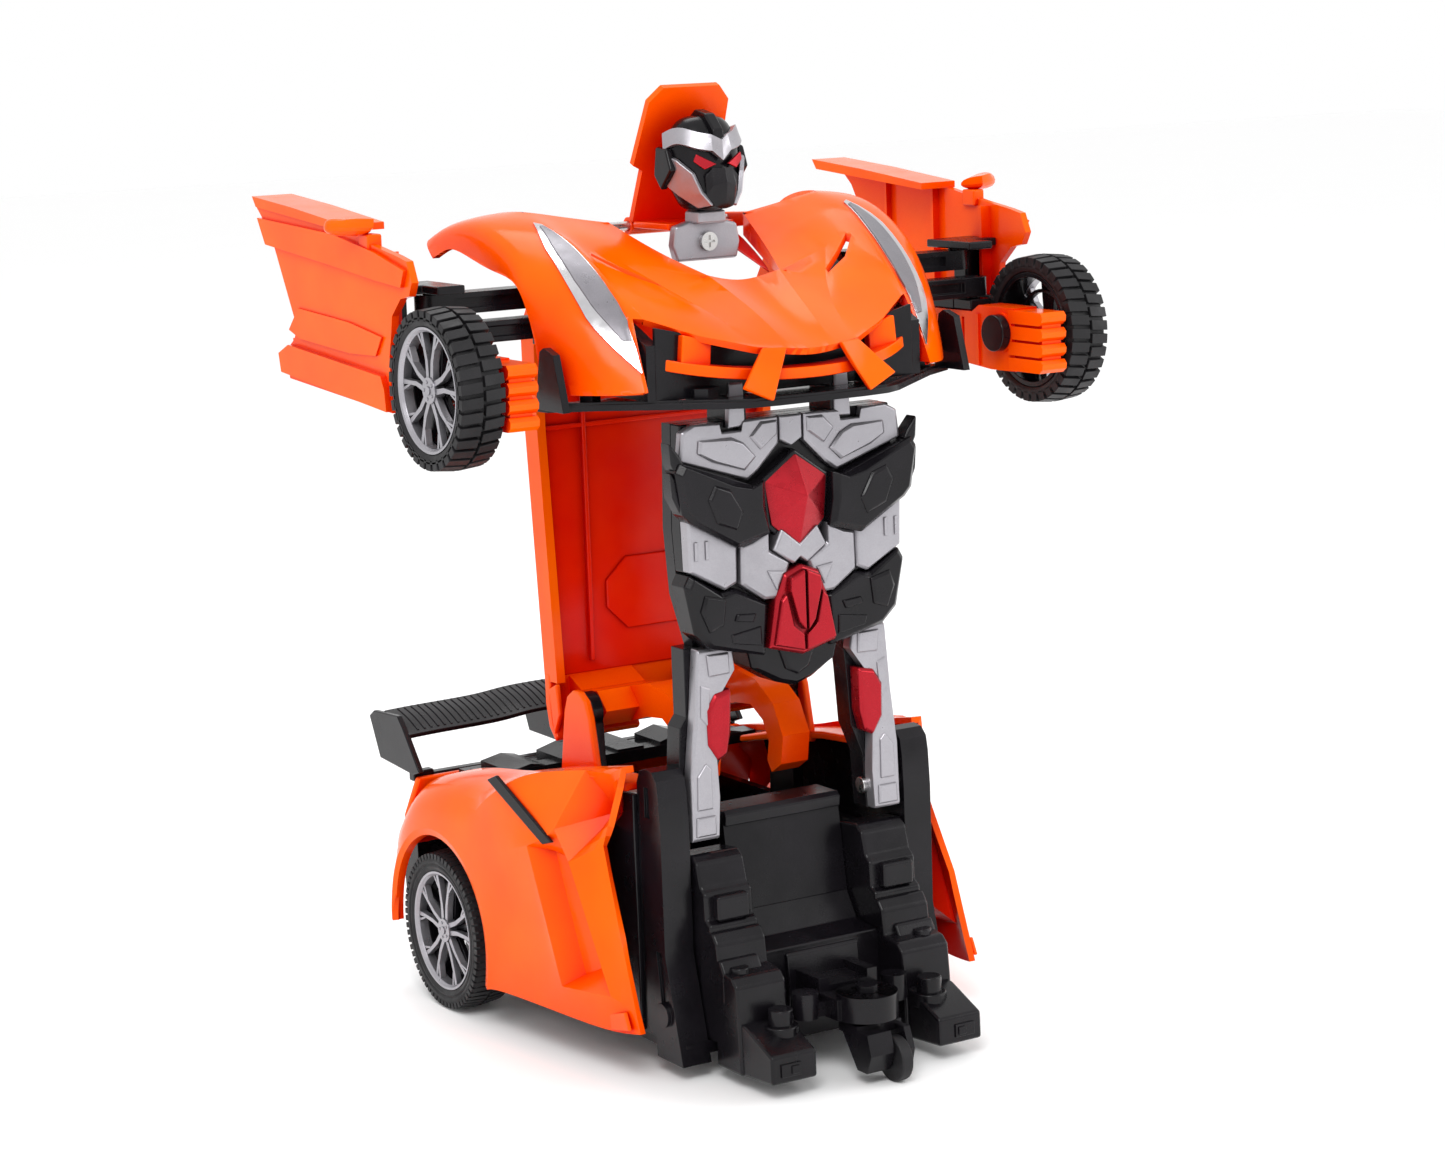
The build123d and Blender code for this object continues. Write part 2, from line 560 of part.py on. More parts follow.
CHEEK_X = (35.4, 38.6)
CHEEK_PROFILE = [
    (-51.4, 163.4), (-51.4, 176.4), (-30, 185.8), (-4, 197.6), (3.6, 196.8), (4, 191),
    (-10, 174.6), (-32.5, 163.4),
]
PIN_BOSS = [(-50.2, 172.4), (-50.2, 177.2), (-46, 178.6), (-42.6, 178.6), (-42.6, 172.4)]
with BuildPart() as chest_frame:
    front_slab([(-38.6, 163.4), (38.6, 163.4), (38.6, 175.5), (-38.6, 175.5)], -51.4, -50.1)
    for side in SIDES:
        box(span(side, 11.5, 17.5), (-52, -50), (163, 174.6), Mode.SUBTRACT)
        side_slab(CHEEK_PROFILE, *span(side, *CHEEK_X))
        rod_x(HOOD_PIVOT, 3.6, span(side, *CHEEK_X))
        rod_x(HOOD_PIVOT, HINGE_PIN_R, span(side, 31.6, CHEEK_X[0]))
        for near, far in ((8.6, 11.4), (17.6, 20.4)):
            side_slab(PIN_BOSS, *span(side, near, far))
        rod_x(TORSO_PIVOT, TORSO_PIN_R, span(side, 8.6, 20.4))
        for low, high in ((174.9, 177.2), (189.8, 191.4)):
            box(span(side, 38.6, 46.6), (-25.0, -11.5), (low, high))
        box(span(side, 38.6, 39.4), (-26, -19.6), (189, 192), Mode.SUBTRACT)
        rod_z((side * ARM_POST_X, UPPER_BAR["y"]), POST_R, (184.0, 189.8))
        rod_z((side * ARM_POST_X, LOWER_BAR["y"]), POST_R, (177.2, 183.0))
save(chest_frame.part, "chest_frame")

# ---------------------------------------------------------------- head and windscreen flap
FLAP_LEAN = 24.6
FLAP_PLANE = Plane(
    origin=(0, FLAP_PIVOT[0], FLAP_PIVOT[1]),
    x_dir=(1, 0, 0),
    z_dir=(0, -cos(radians(FLAP_LEAN)), -sin(radians(FLAP_LEAN))),
)
FLAP_OUTLINE = [
    (-9.5, 2), (9.5, 2), (9.5, 16), (12.4, 17.5), (11.4, 34.4), (8, 38.2), (-8, 38.2), (-11.4, 34.4),
    (-12.4, 17.5), (-9.5, 16),
]
with BuildPart() as windscreen_flap:
    with BuildSketch(FLAP_PLANE):
        with BuildLine():
            Polyline(*FLAP_OUTLINE, close=True)
        make_face()
    extrude(amount=1.8)
    rod_x(FLAP_PIVOT, 2.2, (-9.5, 9.5))
    rod_x(FLAP_PIVOT, FLAP_PIN_R + RUNNING_FIT, (-10, 10), Mode.SUBTRACT)
save(windscreen_flap.part, "windscreen_flap")

HEAD_PROFILE = [
    (-9.6, 211), (-12.4, 226.2), (-16, 228.4), (-21, 226.5), (-24.4, 221), (-24.8, 216),
    (-26.2, 208), (-22, 203.4), (-14, 203.4), (-9, 207.4),
]
HEAD_FRONT = [
    (-10.4, 218), (-9, 224.5), (-4, 228.6), (4, 228.6), (9, 224.5), (10.4, 218), (9, 208),
    (5, 203.4), (-5, 203.4), (-9, 208),
]
with BuildPart() as helmet:
    side_slab(HEAD_PROFILE, -11, 11)
    front_slab(HEAD_FRONT, -40, 0, Mode.INTERSECT)
    side_slab([(-30, 221), (-22.2, 221), (-22.2, 211), (-30, 211)], -8, 8, Mode.SUBTRACT)
save(helmet.part, "helmet")

MASK = [(-7.8, 220.8), (0, 219), (7.8, 220.8), (7.6, 213), (0, 211.2), (-7.6, 213)]
EYE = [(2.0, 214.2), (6.6, 216.2), (6.2, 214.0)]
with BuildPart() as face_mask:
    front_slab(MASK, -25.6, -22.2)
    for side in SIDES:
        front_slab(flip(EYE, side), -26, -24.6, Mode.SUBTRACT)
save(face_mask.part, "face_mask")

with BuildPart() as eyes:
    for side in SIDES:
        front_slab(flip(EYE, side), -25.4, -24.6)
save(eyes.part, "eyes")

with BuildPart() as neck_plate:
    box((-10.4, 10.4), (-17.2, -14.2), (191.6, 201.4))
    box((-10.4, 10.4), (-14.2, -2.2), (199.4, 201.4))
    box((-4.4, 4.4), (-20, -13), (201.4, 203.4))
    box((-9.4, 9.4), (-2.2, 2.35), (199.4, 201.4))
    rod_x(FLAP_PIVOT, 2.65, (-12, 12), Mode.SUBTRACT)
    rod_y((0, 196.6), 0.9, (-18, -12), Mode.SUBTRACT)
save(neck_plate.part, "neck_plate")

with BuildPart() as neck_screw:
    rod_y((0, 196.6), 2.3, (-18.4, -17.2))
    rod_y((0, 196.6), 0.9, (-17.2, -11))
    box((-1.5, 1.5), (-18.5, -17.8), (196.3, 196.9), Mode.SUBTRACT)
    box((-0.3, 0.3), (-18.5, -17.8), (195.1, 198.1), Mode.SUBTRACT)
save(neck_screw.part, "neck_screw")


# ---------------------------------------------------------------- arms, doors, front wheels
def add_bar(bar, side):
    """An I-shaped bar with a bored round boss at each end."""
    y, z_range = bar["y"], bar["z"]
    box(span(side, ARM_POST_X, DOOR_POST_X), (y - BAR_HALF, y + BAR_HALF), z_range)
    for groove_y in (y - BAR_HALF, y + BAR_HALF):
        box(span(side, ARM_POST_X + 5, DOOR_POST_X - 5), (groove_y - 1.2, groove_y + 1.2),
            (z_range[0] + 1.3, z_range[1] - 1.3), Mode.SUBTRACT)
    for x in (ARM_POST_X, DOOR_POST_X):
        rod_z((side * x, y), BAR_HALF, z_range)
    for x in (ARM_POST_X, DOOR_POST_X):
        rod_z((side * x, y), POST_R + RUNNING_FIT, (z_range[0] - 1, z_range[1] + 1), Mode.SUBTRACT)


DOOR_X = (86.0, 88.2)
DOOR_OUTLINE = [
    (53.3, 208.6), (7.4, 204.4), (-14, 200.6), (-29.4, 198.4), (-31.6, 192), (-25.4, 189.6), (-19.4, 184),
    (-18.2, 176), (-18.2, 162.6), (38.1, 166.4), (40.2, 172.8), (31, 178), (45, 201.8),
]
FLANGE = [(53.6, 210.6), (2, 205.6), (2, 203.6), (50.6, 208.3)]
SILL = [(39.8, 168), (40.8, 173.4), (-17, 169.2), (-18.2, 163)]
MIRROR_POD = [(82.4, -12.5), (96, -8), (97.5, -3.5), (94, -0.5), (84, -4.5)]
BRACKET = [
    (-3, 163.5), (-3, 174.4), (-28, 174.4), (-31, 176.2), (-57.6, 176.2), (-58.2, 172), (-56.5, 160.4),
    (-36, 160.2), (-20, 161.6),
]
BRACKET_X = (70.8, 78.4)
GROOVE_X = (69.8, 71.6)
for side in SIDES:
    name = side_name(side)

    for level, bar in (("upper", UPPER_BAR), ("lower", LOWER_BAR)):
        with BuildPart() as arm_bar:
            add_bar(bar, side)
        save(arm_bar.part, f"arm_bar_{level}_{name}")

    with BuildPart() as door_panel:
        side_slab(DOOR_OUTLINE, *span(side, *DOOR_X))
        side_slab(FLANGE, *span(side, 77.8, DOOR_X[1]))
        side_slab(SILL, *span(side, DOOR_X[0], DOOR_X[1] + 1.6))
        # mirror on its stalk
        top_slab(flip([(84.5, -12), (88, -12), (88, -6), (84.5, -6)], side), 199.5, 203.4)
        top_slab(flip(MIRROR_POD, side), 202.4, 208.2)
    save(door_panel.part, f"door_panel_{name}")

    with BuildPart() as wheel_bracket:
        side_slab(BRACKET, *span(side, *BRACKET_X))
        for groove in range(4):
            z = 162.6 + 3.4 * groove
            box(span(side, *GROOVE_X), (-60, -46.8), (z, z + 1.2), Mode.SUBTRACT)
        # carrier of the two bars, fixed to the door's inner face
        for low, high in ((174.4, 177.2), (189.8, 191.8)):
            box(span(side, 72.0, DOOR_X[0]), (-19.4, -8), (low, high))
        box(span(side, 72.0, 79.2), (-27, -19.4), (189.8, 191.8))
        box(span(side, 72.0, 78.4), (-27, -19.4), (174.4, 177.2))
        box(span(side, 80.4, DOOR_X[0]), (-13.4, -8), (174.4, 191.8))
        rod_z((side * DOOR_POST_X, UPPER_BAR["y"]), POST_R, (184.0, 189.8))
        rod_z((side * DOOR_POST_X, LOWER_BAR["y"]), POST_R, (177.2, 183.0))
        rod_x(FRONT_WHEEL_YZ, 2.0, span(side, BRACKET_X[0] - 1, BRACKET_X[1] + 1), Mode.SUBTRACT)
    save(wheel_bracket.part, f"wheel_bracket_{name}")

    with BuildPart() as front_axle:
        rod_x(FRONT_WHEEL_YZ, 2.0, span(side, BRACKET_X[0] - 1.4, 88.6))
        rod_x(FRONT_WHEEL_YZ, 4.6, span(side, BRACKET_X[0] - 2.6, BRACKET_X[0]))
    save(front_axle.part, f"front_axle_{name}")

    with BuildPart() as front_rim:
        add_rim(FRONT_WHEEL_YZ, FRONT_RIM_R, (80.0, 90.2), side, 2.0 + RUNNING_FIT)
    save(front_rim.part, f"front_rim_{name}")

    with BuildPart() as front_tyre:
        add_tyre(FRONT_WHEEL_YZ, FRONT_WHEEL_R, FRONT_RIM_R, FRONT_WHEEL_X, side)
    save(front_tyre.part, f"front_tyre_{name}")
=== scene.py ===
"""Looks of the transforming robot car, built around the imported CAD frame.

Lengths in this file are in millimetres unless a name says otherwise; MM turns them into
Blender's metres. Outlines are given for the +X side and mirrored, because the toy is
symmetrical; left in a name is the -X side. Faces of the shells are small cages: named
corner points, faces between them and crease lines, which a subdivision surface turns
into moulded panels.
"""

import json
from math import cos, pi, radians, sin

import bmesh
import bpy
from mathutils import Matrix, Vector


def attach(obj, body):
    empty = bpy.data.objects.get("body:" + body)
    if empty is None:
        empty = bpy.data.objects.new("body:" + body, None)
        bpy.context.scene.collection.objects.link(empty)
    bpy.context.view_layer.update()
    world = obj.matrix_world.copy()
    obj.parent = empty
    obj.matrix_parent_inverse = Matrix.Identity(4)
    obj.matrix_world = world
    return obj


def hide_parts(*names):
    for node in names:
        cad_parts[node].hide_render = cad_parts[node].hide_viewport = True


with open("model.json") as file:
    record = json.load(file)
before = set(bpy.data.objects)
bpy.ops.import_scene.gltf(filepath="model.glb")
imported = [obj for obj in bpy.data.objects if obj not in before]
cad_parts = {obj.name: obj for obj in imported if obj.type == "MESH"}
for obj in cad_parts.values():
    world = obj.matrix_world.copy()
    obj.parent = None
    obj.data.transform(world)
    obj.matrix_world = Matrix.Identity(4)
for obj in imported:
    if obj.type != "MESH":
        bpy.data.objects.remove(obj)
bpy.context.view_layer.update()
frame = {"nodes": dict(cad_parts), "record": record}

MM = 0.001
SIDES = (-1, 1)
NAMED_SIDES = ((-1, "left"), (1, "right"))
FRONT_AXLE = (-40.7, 169.9)
REAR_AXLE = (33.5, 20.7)
LEG_PIN = (-46, 62)
PIN_BORE = 2.05
SLAB = -50.2  # the flat front of the torso, which the plates stand on


# ---------------------------------------------------------------- materials
class Nodes:
    """A short way to add and link shader nodes."""

    def __init__(self, name):
        self.material = bpy.data.materials.new(name)
        self.material.use_nodes = True
        self.tree = self.material.node_tree
        self.shader = self.tree.nodes["Principled BSDF"]
        self.place = self.add("ShaderNodeTexCoord").outputs["Object"]

    def add(self, kind, **values):
        node = self.tree.nodes.new(kind)
        for key, value in values.items():
            setattr(node, key, value)
        return node

    def link(self, source, target):
        self.tree.links.new(source, target)

    def noise(self, scale, detail=4.0, roughness=0.55):
        node = self.add("ShaderNodeTexNoise")
        node.inputs["Scale"].default_value = scale
        node.inputs["Detail"].default_value = detail
        node.inputs["Roughness"].default_value = roughness
        self.link(self.place, node.inputs["Vector"])
        return node.outputs["Fac"]

    def cells(self, scale):
        node = self.add("ShaderNodeTexVoronoi")
        node.inputs["Scale"].default_value = scale
        self.link(self.place, node.inputs["Vector"])
        return node

    def ramp(self, source, low, high, low_value, high_value):
        node = self.add("ShaderNodeMapRange")
        node.inputs["From Min"].default_value = low
        node.inputs["From Max"].default_value = high
        node.inputs["To Min"].default_value = low_value
        node.inputs["To Max"].default_value = high_value
        self.link(source, node.inputs["Value"])
        return node.outputs["Result"]

    def maths(self, operation, first, second):
        node = self.add("ShaderNodeMath", operation=operation)
        for socket, value in zip(node.inputs, (first, second)):
            if isinstance(value, (int, float)):
                socket.default_value = value
            else:
                self.link(value, socket)
        return node.outputs[0]

    def mix(self, factor, first, second):
        node = self.add("ShaderNodeMix", data_type="RGBA")
        self.link(factor, node.inputs[0])
        for socket, value in ((node.inputs[6], first), (node.inputs[7], second)):
            if isinstance(value, tuple):
                socket.default_value = (*value, 1.0)
            else:
                self.link(value, socket)
        return node.outputs[2]

    def hollow(self, distance):
        """Ambient occlusion, used to paint shade: 1 in the open, 0 deep inside a hollow."""
        node = self.add("ShaderNodeAmbientOcclusion", samples=6)
        node.inputs["Distance"].default_value = distance
        return node.outputs["AO"]

    def bump(self, height, strength, distance):
        node = self.add("ShaderNodeBump")
        node.inputs["Strength"].default_value = strength
        node.inputs["Distance"].default_value = distance
        self.link(height, node.inputs["Height"])
        self.link(node.outputs["Normal"], self.shader.inputs["Normal"])

    def set(self, **values):
        for key, value in values.items():
            socket = self.shader.inputs[key.replace("_", " ")]
            socket.default_value = (*value, 1.0) if isinstance(value, tuple) else value
    def colour(self, source):
        self.link(source, self.shader.inputs["Base Color"])

    def rough(self, scale, detail, low, high, start=0.3):
        """Roughness that wanders between two values."""
        wander = self.ramp(self.noise(scale, detail), start, 0.7, low, high)
        self.link(wander, self.shader.inputs["Roughness"])


def shell_plastic(name, low, high, deep):
    """Glossy orange plastic, with painted shade: a deeper red mixed in where ambient occlusion finds a hollow,
    standing in for light bounced inside the shell.
    """
    n = Nodes(name)
    n.set(IOR=1.5, Specular_IOR_Level=0.13)
    flow = n.ramp(n.noise(38, 3), 0.3, 0.7, 0.0, 1.0)
    # painted shade: ambient occlusion mixes the deep colour into the hollows
    depth = n.ramp(n.hollow(0.030), 0.30, 0.90, 0.0, 1.0)
    n.colour(n.mix(depth, deep, n.mix(flow, low, high)))
    n.rough(120, 5, 0.13, 0.24, start=0.35)
    n.bump(n.noise(900, 2), 0.05, 0.0002)
    return n.material


def black_plastic():
    """Semi gloss black plastic with a fine moulded grain and a little uneven wear."""
    n = Nodes("black_plastic")
    n.set(IOR=1.47, Specular_IOR_Level=0.27)
    wear = n.ramp(n.noise(60, 6), 0.42, 0.75, 0.0, 1.0)
    n.colour(n.mix(wear, (0.0040, 0.0034, 0.0046), (0.0085, 0.0070, 0.0095)))
    n.rough(150, 5, 0.18, 0.30)
    n.bump(n.noise(2600, 2), 0.08, 0.0002)
    return n.material


def sprayed_metal(name, bright, dark, rough, dusty=0.5):
    """Metallic paint: flakes, darker patches, and painted shade darkening the hollows."""
    n = Nodes(name)
    n.set(Metallic=0.72, Coat_Weight=0.08, Coat_Roughness=0.15)
    flake = n.cells(5200)
    sparkle = n.ramp(flake.outputs["Distance"], 0.0, 0.6, 0.0, 1.0)
    lively = tuple(min(1.0, 1.25 * c) for c in bright)
    patch = n.ramp(n.noise(55, 4), 0.45, 0.75, 0.0, dusty)
    # painted shade: ambient occlusion darkens the hollows; the dark colour also serves the random patches
    painted_shade = n.ramp(n.hollow(0.004), 0.25, 0.85, 0.85, 0.0)
    n.colour(n.mix(n.maths("MAXIMUM", patch, painted_shade), n.mix(sparkle, lively, bright), dark))
    n.rough(300, 4, rough - 0.05, rough + 0.12)
    n.bump(flake.outputs["Distance"], 0.06, 0.0001)
    return n.material


def tyre_rubber():
    """Soft black tyre compound with a dusty bloom."""
    n = Nodes("tyre_rubber")
    n.set(IOR=1.45, Specular_IOR_Level=0.35)
    bloom = n.ramp(n.noise(90, 5), 0.4, 0.75, 0.0, 1.0)
    n.colour(n.mix(bloom, (0.006, 0.0055, 0.0065), (0.014, 0.013, 0.015)))
    n.rough(200, 4, 0.42, 0.62)
    n.bump(n.noise(1800, 3), 0.25, 0.0002)
    return n.material


def plated(name, colour, rough, scratch=0.05):
    """Bright metal: chrome plating, pins and screws."""
    n = Nodes(name)
    n.set(Metallic=1.0)
    smear = n.ramp(n.noise(80, 5), 0.35, 0.7, 0.0, 1.0)
    n.colour(n.mix(smear, colour, tuple(0.8 * c for c in colour)))
    n.rough(400, 5, rough, rough + 0.12)
    n.bump(n.noise(1200, 3), scratch, 0.0001)
    return n.material


def plain_plastic(name, colour, rough):
    """Moulded plastic or board for the pieces inside."""
    n = Nodes(name)
    shade = n.ramp(n.noise(110, 5), 0.35, 0.7, 0.0, 1.0)
    n.colour(n.mix(shade, colour, tuple(0.7 * c for c in colour)))
    n.rough(240, 4, rough, rough + 0.15)
    n.bump(n.noise(1500, 2), 0.1, 0.0002)
    return n.material


LOOKS = {
    # the third colour of a shell plastic is its painted shade for the hollows
    "orange_plastic": shell_plastic("orange_plastic", (0.92, 0.088, 0.0), (0.95, 0.118, 0.0),
                                    (0.68, 0.002, 0.0)),
    "black_plastic": black_plastic(),
    "silver_paint": sprayed_metal("silver_paint", (0.33, 0.32, 0.345), (0.13, 0.12, 0.135), 0.32, 0.25),
    "red_paint": sprayed_metal("red_paint", (0.34, 0.004, 0.012), (0.05, 0.002, 0.005), 0.26, 0.4),
    "rim_silver": sprayed_metal("rim_silver", (0.34, 0.33, 0.355), (0.08, 0.08, 0.09), 0.30, 0.15),
    "tyre_rubber": tyre_rubber(),
    "steel": plated("steel", (0.62, 0.61, 0.60), 0.22, 0.15),
    "chrome": plated("chrome", (0.66, 0.65, 0.67), 0.12),
    "eye_red": sprayed_metal("eye_red", (0.40, 0.01, 0.02), (0.10, 0.0, 0.0), 0.25),
    "circuit": plain_plastic("circuit", (0.02, 0.16, 0.06), 0.4),
    "cell_wrap": plain_plastic("cell_wrap", (0.04, 0.07, 0.28), 0.3),
    "gear_white": plain_plastic("gear_white", (0.72, 0.71, 0.66), 0.45),
}
# painted shade: the orange plastic as it looks in shadow, a red material for the inside of the roof and the hood's
# well
PAINTED_SHADE_RED = shell_plastic("orange_plastic_painted_shade", (0.72, 0.006, 0.0), (0.80, 0.020, 0.0), (0.42, 0.0, 0.0))
LAMP_PANEL = sprayed_metal("lamp_panel", (0.22, 0.21, 0.23), (0.10, 0.09, 0.10), 0.30, 0.3)

SLOT_OF = {s["node"]: s["material_slot"] for s in frame["record"]["subparts"]}
BODY_OF = {
    member: body for body, members in frame["record"]["behaviour"]["bodies"].items() for member in members
}


# ---------------------------------------------------------------- mesh helpers
def in_scene(obj):
    if obj.name not in bpy.context.scene.collection.objects:
        bpy.context.scene.collection.objects.link(obj)


def place(obj, node, look=None, hides=True, finish=None):
    """Put a piece in the scene: it rides with, and stands for, its CAD node."""
    in_scene(obj)
    slot = look or SLOT_OF[node]
    obj.data.materials.clear()
    obj.data.materials.append(finish or LOOKS[slot])
    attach(obj, BODY_OF[node])
    if hides:
        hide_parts(node)
    return obj


def round_edges(obj, width, segments=3, angle=28):
    """Moulded radii on the sharp edges, with flat faces kept flat."""
    obj.data.shade_smooth()
    bevel = obj.modifiers.new("radii", "BEVEL")
    bevel.width = width * MM
    bevel.segments = segments
    bevel.limit_method = "ANGLE"
    bevel.angle_limit = radians(angle)
    bevel.harden_normals = True
    return obj


def object_from(name, bm, recalc=True):
    if recalc:
        bmesh.ops.recalc_face_normals(bm, faces=bm.faces)
    mesh = bpy.data.meshes.new(name)
    bm.to_mesh(mesh)
    bm.free()
    return bpy.data.objects.new(name, mesh)


def clean(bm, distance):
    """Join points closer than a distance in metres, and the pieces of each flat face."""
    bmesh.ops.remove_doubles(bm, verts=bm.verts, dist=distance)
    bmesh.ops.dissolve_limit(bm, angle_limit=radians(0.5), verts=bm.verts, edges=bm.edges)


def copy_of(node):
    """A clean copy of a CAD node's mesh, its flat faces joined again."""
    source = frame["nodes"][node].data
    bm = bmesh.new()
    verts = [bm.verts.new(v.co) for v in source.vertices]
    for polygon in source.polygons:
        bm.faces.new([verts[i] for i in polygon.vertices])
    clean(bm, 2e-6)
    return bm


def bridge(bm, low, high):
    """Quads between two closed rows of corners."""
    for i, vert in enumerate(low):
        j = (i + 1) % len(low)
        bm.faces.new((vert, low[j], high[j], high[i]))


def add_prism(bm, outline, axis, low, high):
    """Add a straight prism to a bmesh; the outline's two values skip the given axis."""
    def point(pair, along):
        values = list(pair)
        values.insert("XYZ".index(axis), along)
        return Vector(values) * MM

    rings = [[bm.verts.new(point(pair, along)) for pair in outline] for along in (low, high)]
    bm.faces.new(rings[0])
    bm.faces.new(rings[1])
    bridge(bm, *rings)


def circle(centre, radius, count=32):
    angles = [2 * pi * i / count for i in range(count)]
    return [(centre[0] + radius * cos(a), centre[1] + radius * sin(a)) for a in angles]


def rect(a0, b0, a1, b1):
    """A rectangular outline between two opposite corners."""
    return [(a0, b0), (a1, b0), (a1, b1), (a0, b1)]


def prisms(name, pieces):
    """One object of several (outline, axis, low, high) prisms."""
    bm = bmesh.new()
    for piece in pieces:
        add_prism(bm, *piece)
    return object_from(name, bm)


def on_side(side, pieces):
    """Prisms given for +X, on one side; outlines along Y or Z have X first, along X have none."""
    return [
        (outline, axis, *sorted((side * low, side * high))) if axis == "X"
        else ([(side * a, b) for a, b in outline], axis, low, high)
        for outline, axis, low, high in pieces
    ]


def both(pieces):
    """The same prisms on both sides."""
    return [piece for side in SIDES for piece in on_side(side, pieces)]


def baked(obj):
    """Apply an object's modifiers to its mesh."""
    in_scene(obj)
    graph = bpy.context.evaluated_depsgraph_get()
    mesh = bpy.data.meshes.new_from_object(obj.evaluated_get(graph))
    obj.modifiers.clear()
    obj.data = mesh
    return obj


def carve(obj, cutter, operation="DIFFERENCE"):
    """Cut, or join, another object's volume and remove that object."""
    bpy.context.scene.collection.objects.link(cutter)
    boolean = obj.modifiers.new("carve", "BOOLEAN")
    boolean.operation = operation
    boolean.solver = "EXACT"
    boolean.use_self = True
    boolean.object = cutter
    baked(obj)
    bpy.data.objects.remove(cutter)
    bm = bmesh.new()
    bm.from_mesh(obj.data)
    clean(bm, 1e-5)
    bm.to_mesh(obj.data)
    bm.free()


def solid(name, node, pieces, radius, look=None, hides=True, cuts=(), adds=(), finish=None):
    """Prisms, cut and then joined by others, with moulded radii, put in the scene."""
    obj = prisms(name, pieces)
    if cuts:
        carve(obj, prisms("cuts", cuts))
    if adds:
        carve(obj, prisms("adds", adds), "UNION")
    round_edges(obj, radius)
    return place(obj, node, look, hides, finish)


def thicken(obj, thickness):
    """Give a skin a wall behind its front."""
    wall = obj.modifiers.new("wall", "SOLIDIFY")
    wall.thickness = thickness * MM
    wall.offset = -1


# ---------------------------------------------------------------- moulded shells from cages
def edge_key(verts):
    """A name for an edge: its two ends, to a hundredth of a millimetre."""
    return frozenset(vert.co.to_tuple(5) for vert in verts)


def cage(name, points, faces, creases=(), inside=(0, 0, 100), levels=2, thickness=2.0, mirrored=True):
    """A thin moulded panel: corners by name, faces between them, and sharp lines."""
    bm = bmesh.new()
    sharp = set()
    for side in (SIDES if mirrored else (1,)):
        verts = {key: bm.verts.new(Vector((side * x, y, z)) * MM) for key, (x, y, z) in points.items()}
        for face in faces:
            bm.faces.new([verts[key] for key in face])
        for line in creases:
            sharp.update(edge_key((verts[first], verts[second])) for first, second in zip(line, line[1:]))
    bmesh.ops.remove_doubles(bm, verts=bm.verts, dist=1e-6)
    bmesh.ops.recalc_face_normals(bm, faces=bm.faces)
    layer = bm.edges.layers.float.new("crease_edge")
    for edge in bm.edges:
        if edge_key(edge.verts) in sharp or edge.is_boundary:
            edge[layer] = 1.0
    centre = Vector(inside) * MM
    turn_outward(bm, lambda f: f.normal.dot(f.calc_center_median() - centre) * f.calc_area())
    obj = object_from(name, bm, recalc=False)
    obj.data.shade_smooth()
    subdivision = obj.modifiers.new("panel", "SUBSURF")
    subdivision.levels = subdivision.render_levels = levels
    subdivision.boundary_smooth = "PRESERVE_CORNERS"
    thicken(obj, thickness)
    return round_edges(obj, 0.3, 2, 15)
def islands(bm):
    """Groups of faces that hang together."""
    left = set(bm.faces)
    groups = []
    while left:
        stack = [left.pop()]
        group = []
        while stack:
            face = stack.pop()
            group.append(face)
            for edge in face.edges:
                for other in edge.link_faces:
                    if other in left:
                        left.remove(other)
                        stack.append(other)
        groups.append(group)
    return groups

def turn_outward(bm, outwardness):
    """Turn over each group of joined faces whose summed outwardness is negative."""
    for island in islands(bm):
        if sum(outwardness(face) for face in island) < 0:
            bmesh.ops.reverse_faces(bm, faces=island)
def strip_faces(first, second, count):
    """Quads between two numbered rows of corners, such as C0..C9 and D0..D9."""
    return [(f"{first}{i}", f"{second}{i}", f"{second}{i + 1}", f"{first}{i + 1}") for i in range(count)]


def row(letter, points):
    return {f"{letter}{i}": p for i, p in enumerate(points)}


def chain(letter, low, high):
    return [f"{letter}{i}" for i in range(low, high + 1)]


# ---------------------------------------------------------------- hood
HOOD_POINTS = {
    **row("L", [(0, -63.8, 173.6), (6, -63.2, 174.1), (14, -61, 174.8), (26, -54.3, 178), (36.4, -47.2, 182.2)]),
    **row("M", [(0, -48, 180.2), (7.2, -48.5, 182.6), (15.4, -48.5, 180.6), (29, -42, 185.8), (37.6, -36.5, 189.8)]),
    **row("N", [(0, -32.4, 187.2), (10.2, -33.6, 189.8), (22, -36, 187.0), (28.7, -26, 193.4), (37.8, -24, 196.4)]),
    **row("P", [(15.2, -20, 194.6), (26, -17, 198.4), (38, -14, 201.4)]),
    **row("V", [(10.4, -33.0, 188.2), (15.0, -19.4, 190.9), (19.2, -3.2, 196.2)]),
    **row("Q", [(19.4, -3, 201.8), (28, -2.5, 203.2), (38.4, -2, 205.2)]),
    **row("C", [(39.8, -53.9, 166.0), (39.6, -50.5, 173.5), (38.4, -45.5, 182.4), (38.8, -37, 190.2),
                (40.2, -26, 197.6), (42, -14, 203.4), (43.5, -2, 206.0), (44, 8, 205.6), (45, 18, 203.4),
                (46, 23.6, 200.4)]),
    **row("D", [(47, -49.3, 165.4), (47.3, -47.5, 172), (48, -43.5, 179.5), (48.8, -36.5, 187.8),
                (49.6, -26, 196.4), (50.4, -14, 202.9), (50.8, -2, 205.4), (51, 8, 205.0),
                (51, 18, 203.0), (51, 24, 199.8)]),
    **row("E", [(53, -41, 165.4), (53.6, -39.5, 171), (54.4, -36.5, 178), (55.4, -31, 186.4),
                (56.3, -22, 195.5), (56.8, -12, 201.2), (57, -2, 203.8), (57, 8, 203.4),
                (57, 17, 201.6), (57, 24, 199.2)]),
    **row("F", [(56.4, -32, 166.5), (56.5, -32.5, 171), (56.7, -31, 179), (56.9, -26.5, 188),
                (57, -22, 192), (57, -12, 193), (57, -2, 195.4), (57, 8, 198.0), (57, 14, 196.4),
                (57, 18.7, 194.6)]),
    "G0": (39.4, -43.6, 166.2), "G1": (39.0, -42, 173.5), "G2": (38.2, -40, 181.6),
}
